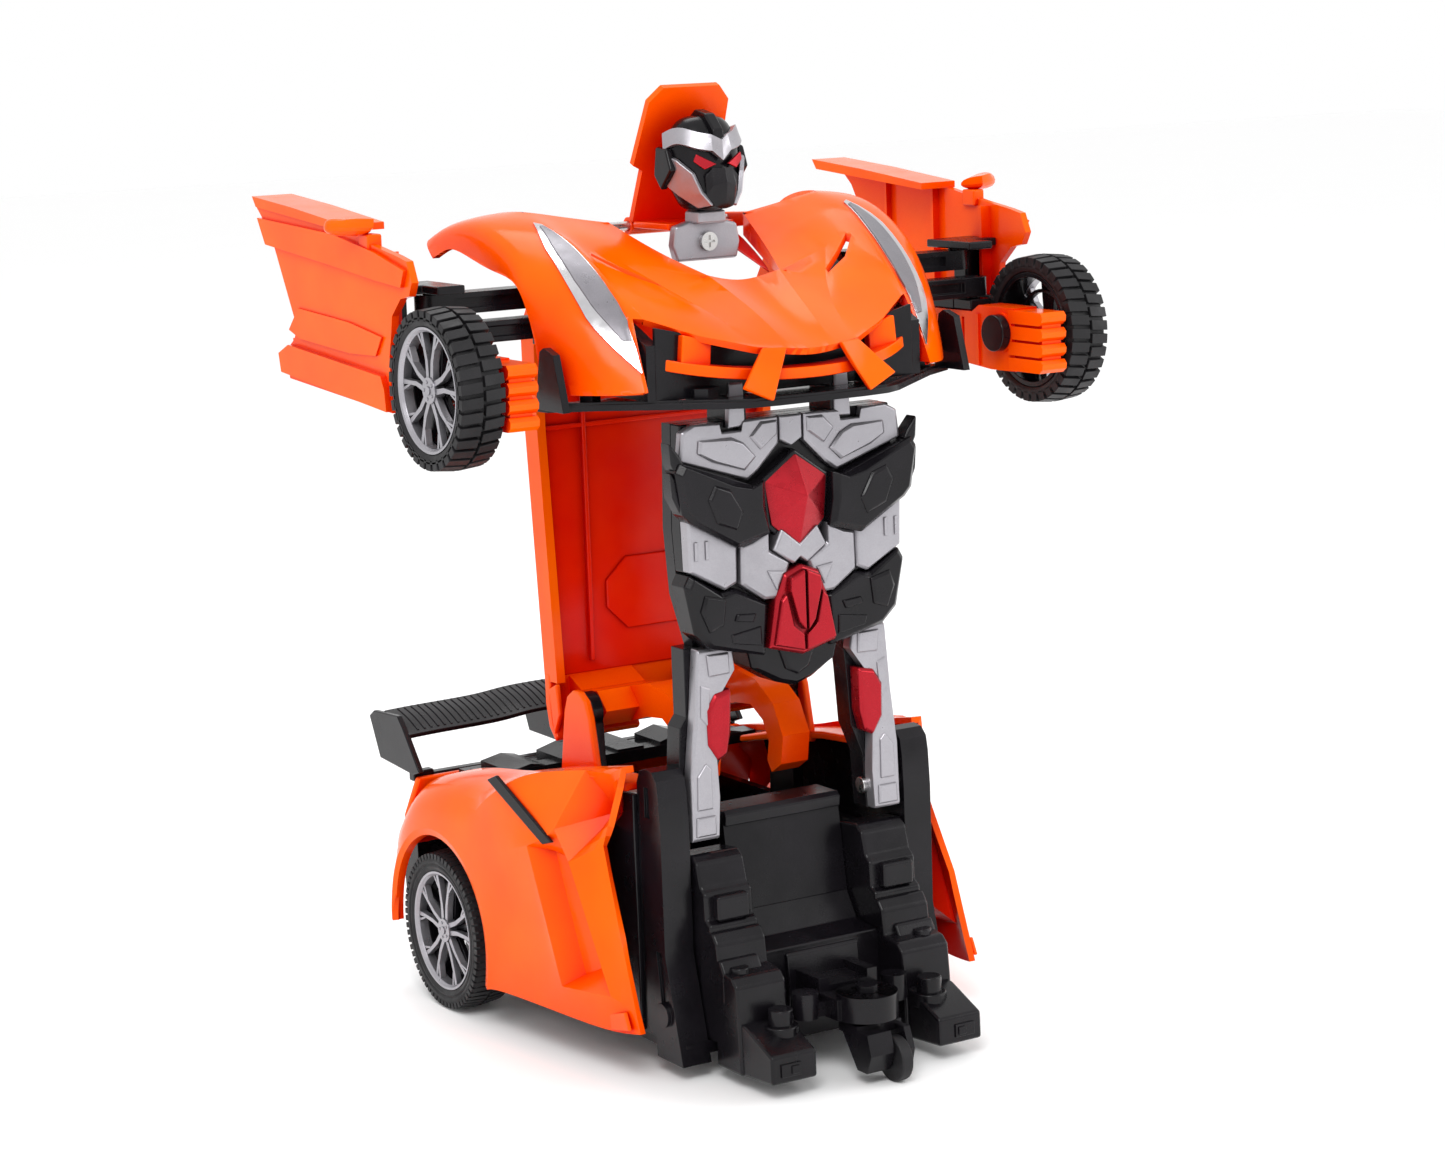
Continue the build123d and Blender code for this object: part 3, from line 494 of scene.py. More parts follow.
HOOD_FACES = [
    ("L0", "L1", "M1", "M0"), ("L1", "L2", "M2", "M1"), ("L2", "L3", "M3", "M2"), ("L3", "L4", "M4", "M3"),
    ("M0", "M1", "N1", "N0"), ("M1", "M2", "N2", "N1"), ("M2", "M3", "N3", "N2"), ("M3", "M4", "N4", "N3"),
    ("N1", "N2", "N3"), ("N1", "N3", "P1", "P0"), ("N3", "N4", "P2", "P1"),
    ("N1", "P0", "V1", "V0"), ("P0", "Q0", "V2", "V1"),
    ("P0", "P1", "Q1", "Q0"), ("P1", "P2", "Q2", "Q1"),
    ("L4", "C2", "C3", "M4"), ("M4", "C3", "C4", "N4"), ("N4", "C4", "C5", "P2"), ("P2", "C5", "C6", "Q2"),
    ("C0", "C1", "G1", "G0"), ("C1", "C2", "G2", "G1"),
    *strip_faces("C", "D", 9), *strip_faces("D", "E", 9), *strip_faces("E", "F", 9),
]
HOOD_CREASES = [
    ["L1", "M1", "N1"], ["L2", "M2", "N2", "N3"], ["N1", "N3", "P1"], chain("C", 0, 5), ["N1", "P0", "Q0"],
    ["L3", "M3", "N3"], ["N1", "N2"],
    ["L4", "C2"], ["M4", "L4"], ["E0", "E1"],
]
SLIT = [(23.6, -34.8), (31, -31.2), (37.2, -25.0), (36.4, -23.8), (30.2, -28.6), (24.0, -33.0)]


def hood():
    """The hood with its slits, the ramps beside the neck and the flap's ears."""
    shell = cage("hood_panels", HOOD_POINTS, HOOD_FACES, HOOD_CREASES, inside=(0, -10, 165), levels=3,
                 thickness=1.8)
    baked(shell)
    carve(shell, prisms("slits", both([(SLIT, "Z", 176, 210)])))
    round_edges(shell, 0.3, 2, 17)
    place(shell, "hood_shell")
    ramp = {"a": (12.8, -25, 188.7), "b": (14.4, -21.6, 189.8), "c": (19.2, -3.2, 196.0), "d": (19.4, 6.6, 199.2),
            "e": (12.8, 6.6, 199.2), "f": (12.8, -10, 193.7)}
    well = cage("hood_well", ramp, [("a", "b", "f"), ("b", "c", "f"), ("c", "d", "e", "f")], inside=(0, 0, 150),
                levels=1, thickness=0.5)
    # painted shade: the well beside the neck is given the red of the orange plastic in shadow
    place(well, "hood_shell", hides=False, finish=PAINTED_SHADE_RED)
    ear = [(-4, 202.0), (-4, 198.6), (3.4, 197.9), (7.2, 198.2), (7.2, 201.6)]
    solid("hood_ears", "hood_shell", both([(ear, "X", 19.6, 23)]), 0.4, hides=False)
    return shell


def along(points, share):
    """The point a given share of the way along a polyline's corners."""
    spot = share * (len(points) - 1)
    i = min(int(spot), len(points) - 2)
    return Vector(points[i]).lerp(Vector(points[i + 1]), spot - i)


def patch(name, surface, inner, outer, lift, thickness, steps=14, across=5):
    """A thin skin laid on a surface between two guide lines, on both sides."""
    bm = bmesh.new()
    for side in SIDES:
        grid = []
        for i in range(steps + 1):
            start, stop = along(inner, i / steps), along(outer, i / steps)
            line = []
            for j in range(across + 1):
                point = start.lerp(stop, j / across)
                point.x *= side
                _, spot, normal, _ = surface.closest_point_on_mesh(point * MM)
                line.append(bm.verts.new(spot + normal * lift * MM))
            grid.append(line)
        for low, high in zip(grid, grid[1:]):
            for j in range(across):
                bm.faces.new((low[j], low[j + 1], high[j + 1], high[j]))
    bmesh.ops.recalc_face_normals(bm, faces=bm.faces)
    turn_outward(bm, lambda face: -face.normal.y)
    obj = object_from(name, bm, recalc=False)
    thicken(obj, thickness)
    return round_edges(obj, 0.18, 2, 40)


def headlights(surface):
    """Bright bezels laid on the hood, each with a darker lamp panel on it."""
    outer = [(45.0, -11.5, 204), (48.2, -22, 199), (48.6, -33, 191), (48.0, -42, 182), (44.6, -47.5, 176),
             (40.6, -52.6, 170.5)]
    inner = [(43.4, -13, 204), (41.6, -24, 199), (40.2, -35, 191), (39.8, -44, 183), (40.0, -49.5, 176),
             (40.3, -52.4, 170.8)]
    place(patch("headlight_bezels", surface, inner, outer, 0.45, 0.9), "headlights")
    outer = [(44.7, -14, 203), (46.6, -24, 198.5), (46.6, -33, 191.5), (45.6, -40, 185), (42.6, -47.5, 178)]
    inner = [(43.6, -14.5, 203), (41.9, -25, 198.5), (40.5, -35.5, 191), (40.0, -43, 185.5), (40.6, -48.8, 178)]
    lenses = patch("headlight_lenses", surface, inner, outer, 0.75, 0.6)
    place(lenses, "headlights", look="silver_paint", hides=False, finish=LAMP_PANEL)


def lip_and_canards():
    """The orange blade across the mouth, its posts and the two diagonal canards."""
    points = {}
    blade = [(0, -62.6, 167.4), (10, -61.6, 167.6), (20, -58.6, 168.4), (29, -54.0, 169.8), (36.6, -48.2, 171.8)]
    for i, (x, y, z) in enumerate(blade):
        points[f"f{i}"] = (x, y - 1.0, z + 1.9)
        points[f"b{i}"] = (x * 0.98, y + 4.2, z + 2.1)
    faces = [(f"f{i}", f"f{i + 1}", f"b{i + 1}", f"b{i}") for i in range(len(blade) - 1)]
    place(cage("lip_blade", points, faces, inside=(0, -55, 100), thickness=2.7), "lip_and_canards")
    canard = {
        "a": (7.6, -63.6, 174.6), "b": (13.4, -62.2, 174.8), "c": (21.2, -66.2, 166.4), "d": (13.6, -66.8, 162.8),
        "e": (10.4, -65.0, 168.8),
    }
    faces = [("a", "b", "e"), ("b", "c", "d", "e")]
    fins = cage("canards", canard, faces, [["b", "e"]], inside=(0, 0, 168), levels=1, thickness=1.3)
    place(fins, "lip_and_canards", hides=False)
    post = [(22.6, 169), (30.6, 170), (29.8, 178.4), (22.0, 176.6)]
    solid("mouth_posts", "lip_and_canards", both([(post, "Y", -53.6, -50.8)]), 0.4, hides=False)
SPLITTER_HALF = [
    (0, -66.4), (12, -66.4), (19.5, -65.4), (24.5, -62.6), (47.3, -43.2), (57.2, -37), (57.8, -33), (38.5, -33),
    (36, -35.5), (18.6, -35.5), (18.6, -53), (10.4, -53), (10.4, -35.5), (0, -35.5),
]


def splitter():
    """The black blade under the mouth, its end fins, lip and pads, and the mouth's dark wall."""
    obj = prisms("splitter_blade", both([(SPLITTER_HALF, "Z", 161.4, 162.9)]))
    fin = [(-45.5, 162), (-41.6, 175.2), (-37.2, 176.6), (-35.2, 175.6), (-33, 165), (-33, 162)]
    carve(obj, prisms("fins", both([(fin, "X", 55.9, 57.8)])), "UNION")
    carve(obj, prisms("lip", both([
        ([(0, -66.2), (19, -65.3), (47.3, -43), (56.6, -37), (55.6, -36.2), (46.6, -41.9), (18.4, -64), (0, -64.8)],
         "Z", 162.6, 163.5),
        ([(20, -53), (25, -56), (27.5, -54), (27, -49), (20.5, -49)], "Z", 162.6, 165.6),
        ([(44.4, -39.6), (48.2, -42.0), (50, -39.6), (48, -36), (45, -36)], "Z", 162.6, 166.4),
    ])), "UNION")
    round_edges(obj, 0.35)
    place(obj, "splitter")
    wall = [(-36.4, 163.2), (36.4, 163.2), (36.2, 180.5), (20, 176.6), (0, 175.0), (-20, 176.6), (-36.2, 180.5)]
    solid("mouth_wall", "splitter", [(wall, "Y", -51.6, -50.4)], 0.3, hides=False)


# ---------------------------------------------------------------- rear bodywork
ARCH_ANGLES = (200, 180, 160, 140, 120, 100, 80, 60, 40, 20, 0, -6)


def arch_row(letter, radius, x):
    """Corners along the wheel arch, at a radius from the rear axle."""
    arc = [radians(angle) for angle in ARCH_ANGLES]
    return row(letter, [(x, REAR_AXLE[0] + radius * cos(a), REAR_AXLE[1] + radius * sin(a)) for a in arc])
REAR_POINTS = {
    **arch_row("A", 25.3, 55.0),
    **arch_row("B", 25.6, 57.0),
    **arch_row("H", 27.4, 57.5),
    **row("J", [(57, 5.0, 12.3), (57, 3.6, 22.9), (56.9, 2.8, 34), (56.9, 3.0, 48), (56.6, 13, 57.4),
                (56.4, 27, 58.2), (56.2, 39, 56.4), (56.0, 50, 52.2), (55.6, 58.5, 43), (55.6, 60.2, 32),
                (55.8, 59.6, 20.5), (55.8, 59.2, 18)]),
    **row("K", [(51.5, -1, 66.4), (50.6, 13, 63.6), (50.2, 27, 61.9), (49.8, 40, 60.0), (49.6, 52, 56.8),
                (50.6, 60.2, 46)]),
    **row("S", [(41, -1, 67.0), (40, 13, 64.2), (39.4, 27, 62.3), (39.2, 40, 60.2), (39, 52.3, 56.6)]),
    "a2": (56.2, -14.6, 53.0), "a3": (54.4, -26.2, 19.8), "c1": (50.4, -18.8, 51.5), "c2": (48.8, -28.4, 22.4),
    "d1": (48.4, -27.0, 50.0), "ic": (53.2, -23.4, 58.4), "c4": (47.2, -37.6, 26.4), "r1": (53.0, -29.6, 51.4),
    "r2": (51.6, -45.2, 21.2),
    "g1": (49.4, -51.0, 19.8), "f2": (47.2, -36.8, 56.0), "f3": (48.9, -46.4, 35.5), "f4": (49.0, -54.4, 13.6),
    "b2": (54.8, -14.0, 12.4), "b3": (51.2, -43.7, 11.8), "k1": (54.0, -22.8, 25.0),
    "s1": (55.6, -3.2, 66.0), "s2": (54.2, -20.0, 55.6), "t0": (50.4, -6, 69.2), "ti": (41, -6, 68.8),
    "t1": (43.6, -41, 75.4), "tk": (40.5, -41, 75.5), "ta": (46.6, -28.5, 73.0), "ib": (44.8, -37.4, 73.4),
    "id": (39.0, -31.0, 62.0), "f1": (45.6, -39.2, 66.0),
}
REAR_FACES = [
    *strip_faces("A", "B", 11), *strip_faces("B", "H", 11), *strip_faces("H", "J", 11),
    ("J3", "a2", "s2", "s1", "J4"), ("J4", "s1", "K0", "K1"), ("J4", "K1", "K2", "J5"), ("J5", "K2", "K3", "J6"),
    ("J6", "K3", "K4", "J7"), ("J7", "K4", "K5", "J8"),
    *strip_faces("K", "S", 4), ("K0", "t0", "ti", "S0"), ("s1", "t0", "K0"),
    ("J2", "k1", "a2", "J3"), ("J1", "k1", "J2"), ("J0", "b2", "k1", "J1"), ("k1", "b2", "a3"), ("k1", "a3", "a2"),
    ("a2", "a3", "c2", "c1"), ("c1", "c2", "c4", "d1"), ("a2", "c1", "d1", "ic", "s2"), ("a3", "r2", "c4", "c2"),
    ("d1", "c4", "r2", "r1"), ("ic", "d1", "r1"), ("r1", "r2", "g1", "f3", "f2"), ("a3", "b2", "b3", "r2"),
    ("r2", "b3", "f4", "g1"),
    ("g1", "f4", "f3"), ("s1", "s2", "ic", "ta", "t0"), ("t0", "ta", "ib", "t1", "tk", "ti"),
    ("ta", "ic", "id"), ("ta", "id", "ib"), ("ic", "r1", "id"), ("id", "r1", "f2", "f1"), ("ib", "id", "f1", "t1"),
]
REAR_CREASES = [
    chain("B", 0, 11), chain("H", 0, 11), ["a2", "a3"], ["c1", "c2"], ["d1", "c4"], ["c1", "d1", "ic"], ["d1", "r1"],
    ["r1", "r2"], ["c2", "c4"], ["a3", "c2"], ["a3", "r2"], ["r2", "g1"], ["g1", "f3"], ["g1", "f4"], ["a2", "s2"],
    ["s2", "s1"], ["s1", "t0"], ["a2", "ic"], ["s2", "ic"], ["ic", "ta"], ["ta", "id"], ["ic", "id"], ["ta", "ib"],
    ["ib", "id"], ["id", "f1"], ["r1", "ic"], ["r1", "id"], ["r1", "f2"], ["t0", "ta"], ["t1", "ib"], ["J3", "a2"],
    ["J4", "s1"], ["s1", "K0"], ["c4", "r2"], ["a2", "c1"], ["f1", "t1"], ["f2", "f1"],
]


def rear_bodywork():
    """Fenders and side panels, the edge behind the deck, and small plates on the skirts."""
    shell = cage("rear_side_panels", REAR_POINTS, REAR_FACES, REAR_CREASES, inside=(0, 5, 40), thickness=1.6)
    place(shell, "rear_body_shell")
    edge = [(-52, 38.5), (52, 38.5), (54, 46), (50, 56), (-50, 56), (-54, 46)]
    solid("rear_deck_edge", "rear_body_shell", [(edge, "Y", 55.6, 58.0)], 0.8, hides=False)
    skirt = [(-52.6, 14.4), (-44, 12.6), (-43.4, 16.4), (-50.6, 18.6)]
    solid("skirt_plates", "rear_body_shell", both([(skirt, "X", 50.2, 51.2)]), 0.3, hides=False)


for build in (splitter, lip_and_canards, rear_bodywork):
    build()
headlights(hood())


# ---------------------------------------------------------------- torso, legs and head
def plate(name, outline, back, front, inset=1.2, rise=0.6):
    """A moulded plate facing -Y: a prism whose rim slopes back from a smaller face."""
    middle = Vector((sum(x for x, _ in outline), sum(z for _, z in outline))) / len(outline)
    face = []
    for corner in outline:
        away = Vector(corner) - middle
        face.append(middle + away * max(0.0, 1 - inset / max(away.length, 0.1)))
    bm = bmesh.new()
    rows = [
        [bm.verts.new(Vector((x, y, z)) * MM) for x, z in ring]
        for ring, y in ((outline, back), (outline, front + rise), (face, front))
    ]
    bm.faces.new(rows[0])
    bm.faces.new(rows[2])
    for low, high in zip(rows, rows[1:]):
        bridge(bm, low, high)
    return object_from(name, bm)


def plates(name, node, pieces, look=None, hides=True, radius=0.35):
    """Several plates, given for +X and mirrored unless they cross the middle, in one object."""
    bm = bmesh.new()
    for outline, back, front, *shape in pieces:
        crosses = min(x for x, _ in outline) < 0
        for side in (1,) if crosses else SIDES:
            part = plate(name, [(side * x, z) for x, z in outline], back, front, *shape)
            bm.from_mesh(part.data)
            bpy.data.objects.remove(part)
    obj = object_from(name, bm)
    round_edges(obj, radius)
    return place(obj, node, look, hides)


def torso():
    """Silver front: shoulders with a stepped border, then the V of the belly."""
    slab = [(-29.7, 157), (29.7, 157), (30.4, 132), (29.8, 122), (10.1, 112), (10.1, 103), (-10.1, 103),
            (-10.1, 112), (-29.8, 122), (-30.4, 132)]
    solid("torso_slab", "torso_front", [(slab, "Y", SLAB, -46)], 0.4, look="black_plastic")
    plates("shoulder_borders", "torso_front", [
        ([(3.6, 157), (3.6, 150.5), (9.5, 144.6), (12.6, 142.4), (31.4, 148.6), (30.6, 155.4), (27.6, 157),
          (20.4, 157), (20.0, 154.6), (13.6, 154.6), (13.2, 157)], SLAB, -52.6, 0.7, 0.5),
        ([(-3.2, 157), (-3.2, 151.2), (0, 149.4), (3.2, 151.2), (3.2, 157)], SLAB, -52.4, 0.5, 0.4),
        ([(12.9, 166), (12.6, 155.4), (17.4, 155.2), (16.8, 166)], -50.4, -52.2, 0.5, 0.4),
    ], hides=False)
    plates("shoulder_insets", "torso_front", [
        ([(13.6, 151.6), (10.4, 148.0), (13.6, 145.0), (22.5, 147.8), (26.6, 150.2), (26.2, 153.2), (17.0, 153.2)],
         -52.4, -53.4, 0.8, 0.5),
        ([(4.2, 156.2), (8.8, 156.2), (12.0, 152.8), (9.0, 149.4), (4.2, 152.8)], -52.4, -53.2, 0.7, 0.5),
    ], hides=False)
    plates("belly_armour", "torso_front", [
        ([(30.6, 137.6), (30.2, 122.4), (20.4, 117.0), (17.0, 118.4), (16.6, 127.6), (18.6, 129.8)],
         SLAB, -53.6, 0.9, 0.7),
        ([(16.2, 127.4), (16.4, 118.0), (9.9, 113.6), (5.2, 113.4), (2.4, 121.8), (8.2, 125.6), (8.4, 130.4),
          (13.2, 128.2)], SLAB, -54.4, 0.9, 0.7),
        ([(-2.0, 121.4), (-7.6, 125.4), (-5.2, 130.2), (0, 126.4), (5.2, 130.2), (7.6, 125.4), (2.0, 121.4),
          (0, 122.8)], SLAB, -55.0, 0.6, 0.5),
    ], hides=False)
    plates("belly_badges", "torso_front", [
        ([(4.6, 120.0), (9.4, 120.6), (6.8, 115.6)], -53.8, -55.0, 0.9, 0.3),
        (rect(28.1, 125.0, 28.9, 129.6), -53.0, -54.0, 0.2, 0.2),
        (rect(25.1, 125.0, 25.9, 129.6), -53.0, -54.0, 0.2, 0.2),
    ], hides=False, radius=0.12)


def armour():
    plates("chest_armour", "chest_plates", [
        ([(9.6, 142.6), (12.4, 141.4), (18, 143.4), (32.8, 148.8), (34.2, 146.6), (32.6, 136.6), (30.6, 134.4),
          (17.6, 127.0), (8.4, 129.6), (9.6, 135.8)], SLAB, -56.4, 1.6, 1.4),
        ([(32.2, 150.4), (35.0, 153.6), (34.8, 148.6), (33.2, 145.6), (31.2, 148.4)], SLAB, -54.6, 0.6, 0.5),
        ([(32.6, 144.6), (34.9, 146.6), (34.6, 140.6), (32.4, 136.4)], SLAB, -54.4, 0.7, 0.5),
    ])
    plates("chest_armour_ridges", "chest_plates", [
        ([(20.0, 141.6), (24.4, 143.0), (26.4, 139.6), (24.0, 133.6), (18.4, 131.6), (16.6, 135.8)],
         -56.0, -57.1, 0.8, 0.6),
    ], hides=False)
    # cut gem: four facets around a ridge
    points = {"top": (0, -53.6, 147.9), "side": (9.0, -53.4, 141.8), "heart": (0, -58.7, 138.2),
              "wing": (7.6, -54.0, 131.4), "low": (0, -54.2, 124.8)}
    faces = [("top", "heart", "side"), ("side", "heart", "wing"), ("wing", "heart", "low")]
    gem = cage("cut_gem", points, faces, [["top", "side"], ["side", "wing"], ["wing", "low"], ["top", "heart"],
                                         ["heart", "side"], ["heart", "low"], ["heart", "wing"]],
               inside=(0, 0, 136), levels=1, thickness=2.4)
    place(gem, "chest_gem")
    plates("gem_setting", "chest_gem", [([(-9.6, 142.2), (0, 149.0), (9.6, 142.2), (8.4, 130.8), (0, 123.6),
                                          (-8.4, 130.8)], SLAB, -53.6, 0.6, 0.5)], look="black_plastic", hides=False)
    plates("belly_shield", "belly_plate", [
        ([(-5.0, 119.4), (0, 121.3), (5.0, 119.4), (7.4, 113.4), (9.6, 101.8), (0, 99.2), (-9.6, 101.8),
          (-7.4, 113.4)], SLAB, -55.4, 0.8, 0.8),
    ])
    plates("belly_shield_halves", "belly_plate", [
        ([(0.3, 120.2), (4.2, 118.6), (4.4, 115.4), (2.2, 107.6), (0.3, 105.4)], -55.0, -57.4, 0.5, 0.5),
        ([(5.2, 114.6), (6.6, 113.2), (8.8, 102.6), (0.3, 100.4), (0.3, 104.2), (3.0, 106.6)],
         -55.0, -56.6, 0.5, 0.5),
    ], hides=False, radius=0.25)
    plates("waist_armour", "waist_plates", [
        ([(29.9, 121.6), (31.4, 119.0), (29.0, 107.2), (24.6, 103.2), (9.4, 99.8), (8.0, 112.2), (16.8, 117.0),
          (21.0, 116.6)], -46.4, -53.6, 1.4, 1.2),
    ])
    plates("waist_ridges", "waist_plates", [
        ([(20.6, 115.2), (26.4, 116.6), (27.8, 112.8), (25.4, 107.4), (21.4, 108.8)], -53.2, -54.4, 0.8, 0.5),
        ([(12.4, 110.6), (17.8, 111.0), (18.4, 109.4), (13.2, 108.6)], -53.2, -54.3, 0.5, 0.4),
        ([(11.0, 107.4), (19.6, 106.2), (19.0, 104.0), (10.8, 102.6)], -53.2, -54.1, 0.5, 0.4),
    ], hides=False, radius=0.2)
    plates("pelvis_guard", "pelvis", [
        ([(-13.4, 103), (13.4, 103), (12.0, 96.6), (5.2, 92.4), (0, 90.8), (-5.2, 92.4), (-12.0, 96.6)],
         -42, -51.6, 1.4, 1.6),
        ([(-5.4, 101.2), (5.4, 101.2), (3.4, 95.6), (0, 93.8), (-3.4, 95.6)], -51.2, -52.6, 0.8, 0.6),
    ])
def leg_armour():
    plates("shin_guards", "leg_covers", [
        ([(22.6, 56.4), (30.2, 56.4), (30.0, 72), (28.4, 86.0), (26.9, 103), (17.4, 103.4), (16.6, 97.6), (20.4, 92.6),
          (22.2, 88.0), (22.4, 75.6), (22.0, 66.0)], -46.8, -50.4, 0.8, 0.6),
    ])
    plates("shin_ridges", "leg_covers", [
        ([(23.6, 57.6), (29.2, 57.6), (29.0, 62.4), (23.6, 62.4)], -50.0, -51.0, 0.6, 0.4),
        ([(24.4, 64.0), (28.6, 64.0), (28.4, 72.4), (25.8, 75.4), (24.4, 74.0)], -50.0, -50.8, 0.4, 0.3),
        ([(18.6, 101.6), (24.8, 101.6), (24.2, 96.2), (18.4, 96.4)], -50.0, -51.0, 0.6, 0.4),
        ([(24.0, 93.6), (26.6, 94.6), (27.0, 86.4), (24.8, 84.0)], -50.0, -50.7, 0.5, 0.3),
    ], hides=False, radius=0.2)
    plates("shin_gems", "leg_inserts", [
        ([(18.4, 92.8), (22.9, 92.0), (25.4, 88.4), (25.2, 79.6), (22.4, 75.4), (20.0, 76.6), (18.6, 82)],
         -46.9, -51.2, 1.0, 0.8),
    ])
    core = [(22.4, 56.2), (31.2, 56.2), (31.4, 72), (30.6, 84), (28.8, 86.4), (28.8, 103), (16.2, 103.2), (17.4, 92),
            (18.4, 78), (21.6, 70)]
    solid("leg_cores", "legs", both([(core, "Y", -46.8, -41.0)]), 0.5,
          cuts=[(circle(LEG_PIN, PIN_BORE, 24), "X", -34, 34)])


HEAD_RINGS = [
    # (z, half a ring's (x, y) corners from the nose round to the nape)
    (203.6, [(0, -21.6), (3.6, -20.8), (5.6, -17.6), (5.0, -13.6), (0, -12.4)]),
    (207.0, [(0, -24.8), (4.6, -23.4), (7.6, -18.4), (7.0, -12.0), (0, -10.0)]),
    (211.2, [(0, -24.4), (5.6, -22.9), (9.2, -17.8), (8.8, -11.4), (0, -8.9)]),
    (216.0, [(0, -24.2), (6.2, -22.8), (10.1, -17.6), (9.8, -11.2), (0, -8.6)]),
    (220.6, [(0, -23.8), (6.0, -22.4), (9.9, -17.6), (9.7, -11.6), (0, -9.2)]),
    (224.6, [(0, -21.8), (5.0, -20.8), (8.0, -17.2), (7.8, -12.6), (0, -10.8)]),
    (227.4, [(0, -19.2), (3.2, -18.6), (5.0, -16.8), (4.8, -14.2), (0, -13.2)]),
]


def neck():
    solid("neck_collar", "neck_plate", [
        ([(-8.6, 192.0), (8.6, 192.0), (9.6, 196), (8.8, 200.6), (5, 201.6), (-5, 201.6), (-8.8, 200.6), (-9.6, 196)],
         "Y", -17.2, -14.2),
        ([(-4.2, 201.0), (4.2, 201.0), (4.0, 204.2), (-4.0, 204.2)], "Y", -20.0, -13.4),
    ], 0.7)
    shelf = [(rect(-14.4, 199.6, 2.3, 201.2), "X", -9.4, 9.4)]
    solid("neck_shelf", "neck_plate", shelf, 0.3, look="orange_plastic", hides=False)


def head():
    """A smooth helmet built from rings, with armour laid around the face."""
    bm = bmesh.new()
    rows = []
    for z, half in HEAD_RINGS:
        ring = half + [(-x, y) for x, y in reversed(half[1:-1])]
        rows.append([bm.verts.new(Vector((x, y, z)) * MM) for x, y in ring])
    for low, high in zip(rows, rows[1:]):
        bridge(bm, low, high)
    bm.faces.new(rows[0])
    bm.faces.new(rows[-1])
    dome = object_from("helmet_dome", bm)
    dome.data.shade_smooth()
    smooth = dome.modifiers.new("dome", "SUBSURF")
    smooth.levels = smooth.render_levels = 3
    place(dome, "helmet", look="black_plastic")
    crest = [(-25.0, 219.4), (-24.2, 223.8), (-20.4, 227.6), (-15.6, 228.6), (-12.0, 226.2), (-9.8, 221), (-13, 219),
             (-19, 223), (-22.8, 220.2)]
    solid("helmet_crest", "helmet", [(crest, "X", -1.5, 1.5)], 0.5, look="black_plastic", hides=False)
    # silver armour: brow, cheeks and temples
    brow = {
        "b0": (0, -26.0, 216.4), "b1": (2.6, -25.6, 218.8), "b2": (6.6, -23.8, 219.4), "b3": (9.6, -19.6, 221.4),
        "b4": (10.8, -15.6, 219.0), "u0": (0, -25.8, 221.4), "u1": (2.4, -24.6, 222.8), "u2": (5.4, -22.6, 223.4),
        "u3": (8.6, -18.6, 225.2), "u4": (10.4, -14.8, 223.2),
    }
    faces = [(f"b{i}", f"b{i + 1}", f"u{i + 1}", f"u{i}") for i in range(4)]
    brow_obj = cage("helmet_brow", brow, faces, [["b0", "u0"], ["b1", "u1"]], inside=(0, -14, 216), thickness=1.4)
    place(brow_obj, "helmet", hides=False)
    cheek = {
        "a": (10.9, -15.0, 218.2), "b": (9.9, -20.0, 216.8), "c": (7.4, -23.4, 213.6), "d": (5.8, -24.9, 208.6),
        "e": (3.4, -25.9, 205.6), "f": (5.6, -22.4, 205.0), "g": (8.6, -18.6, 208.0), "h": (10.6, -14.2, 211.4),
    }
    faces = [("a", "b", "g", "h"), ("b", "c", "d", "g"), ("d", "e", "f", "g")]
    cheeks = cage("helmet_cheeks", cheek, faces, [["b", "g"], ["d", "g"]], inside=(0, -14, 213), thickness=1.3)
    place(cheeks, "helmet", hides=False)
    # dark face with a jaw guard
    jaw = {
        "n": (0, -26.6, 214.6), "o": (2.6, -25.4, 214.8), "p": (4.6, -25.0, 212.8), "q": (0, -27.4, 211.4),
        "r": (3.2, -26.2, 210.6), "s": (4.4, -24.8, 208.0), "t": (0, -27.2, 206.8), "u": (2.6, -25.8, 205.4),
        "v": (0, -25.6, 204.4),
    }
    faces = [("n", "o", "r", "q"), ("o", "p", "s", "r"), ("q", "r", "u", "t"), ("r", "s", "u"), ("t", "u", "v")]
    creases = [["n", "q"], ["q", "t"], ["r", "o"], ["q", "r"], ["r", "s"], ["r", "u"]]
    guard = cage("jaw_guard", jaw, faces, creases, inside=(0, -14, 210), thickness=1.2)
    place(guard, "face_mask", look="black_plastic")
    eye = {"a": (1.6, -25.6, 215.6), "b": (6.4, -23.9, 218.2), "c": (7.0, -23.4, 216.4), "d": (4.6, -24.8, 214.4)}
    eye_obj = cage("eye_lights", eye, [("a", "b", "c", "d")], inside=(0, -14, 216), levels=1, thickness=0.8)
    place(eye_obj, "eyes")
    ear = [(-19.6, 214.4), (-17.6, 219.4), (-12.6, 220.0), (-11.4, 213.0), (-14.6, 209.4)]
    solid("helmet_ears", "helmet", both([(ear, "X", 9.2, 11.2)]), 0.6, look="black_plastic", hides=False)


for build in (torso, armour, leg_armour, neck, head):
    build()


# ---------------------------------------------------------------- wheels
TREAD_GAP = 0.35  # half the groove between the two bands of blocks
BLOCK_HALF, BLOCK_SKEW = 0.36, 0.06  # a tread block's half length and slant, as shares of the pitch
SPOKES, FIRST_SPOKE = 5, 0.35  # the first spoke's angle is in radians


def on_axle(centre, x, radius, angle):
    """A point in metres at a radius and angle about an axle along X."""
    return Vector((x, centre[0] + radius * cos(angle), centre[1] + radius * sin(angle))) * MM


def add_ring(bm, profile, centre, side, steps=72):
    """Add a ring turned about an axle along X from (across, radius) corners."""
    rows = []
    for step in range(steps):
        angle = 2 * pi * step / steps
        rows.append([bm.verts.new(on_axle(centre, side * x, radius, angle)) for x, radius in profile])
    for low, high in zip(rows, rows[1:] + rows[:1]):
        bridge(bm, low, high)


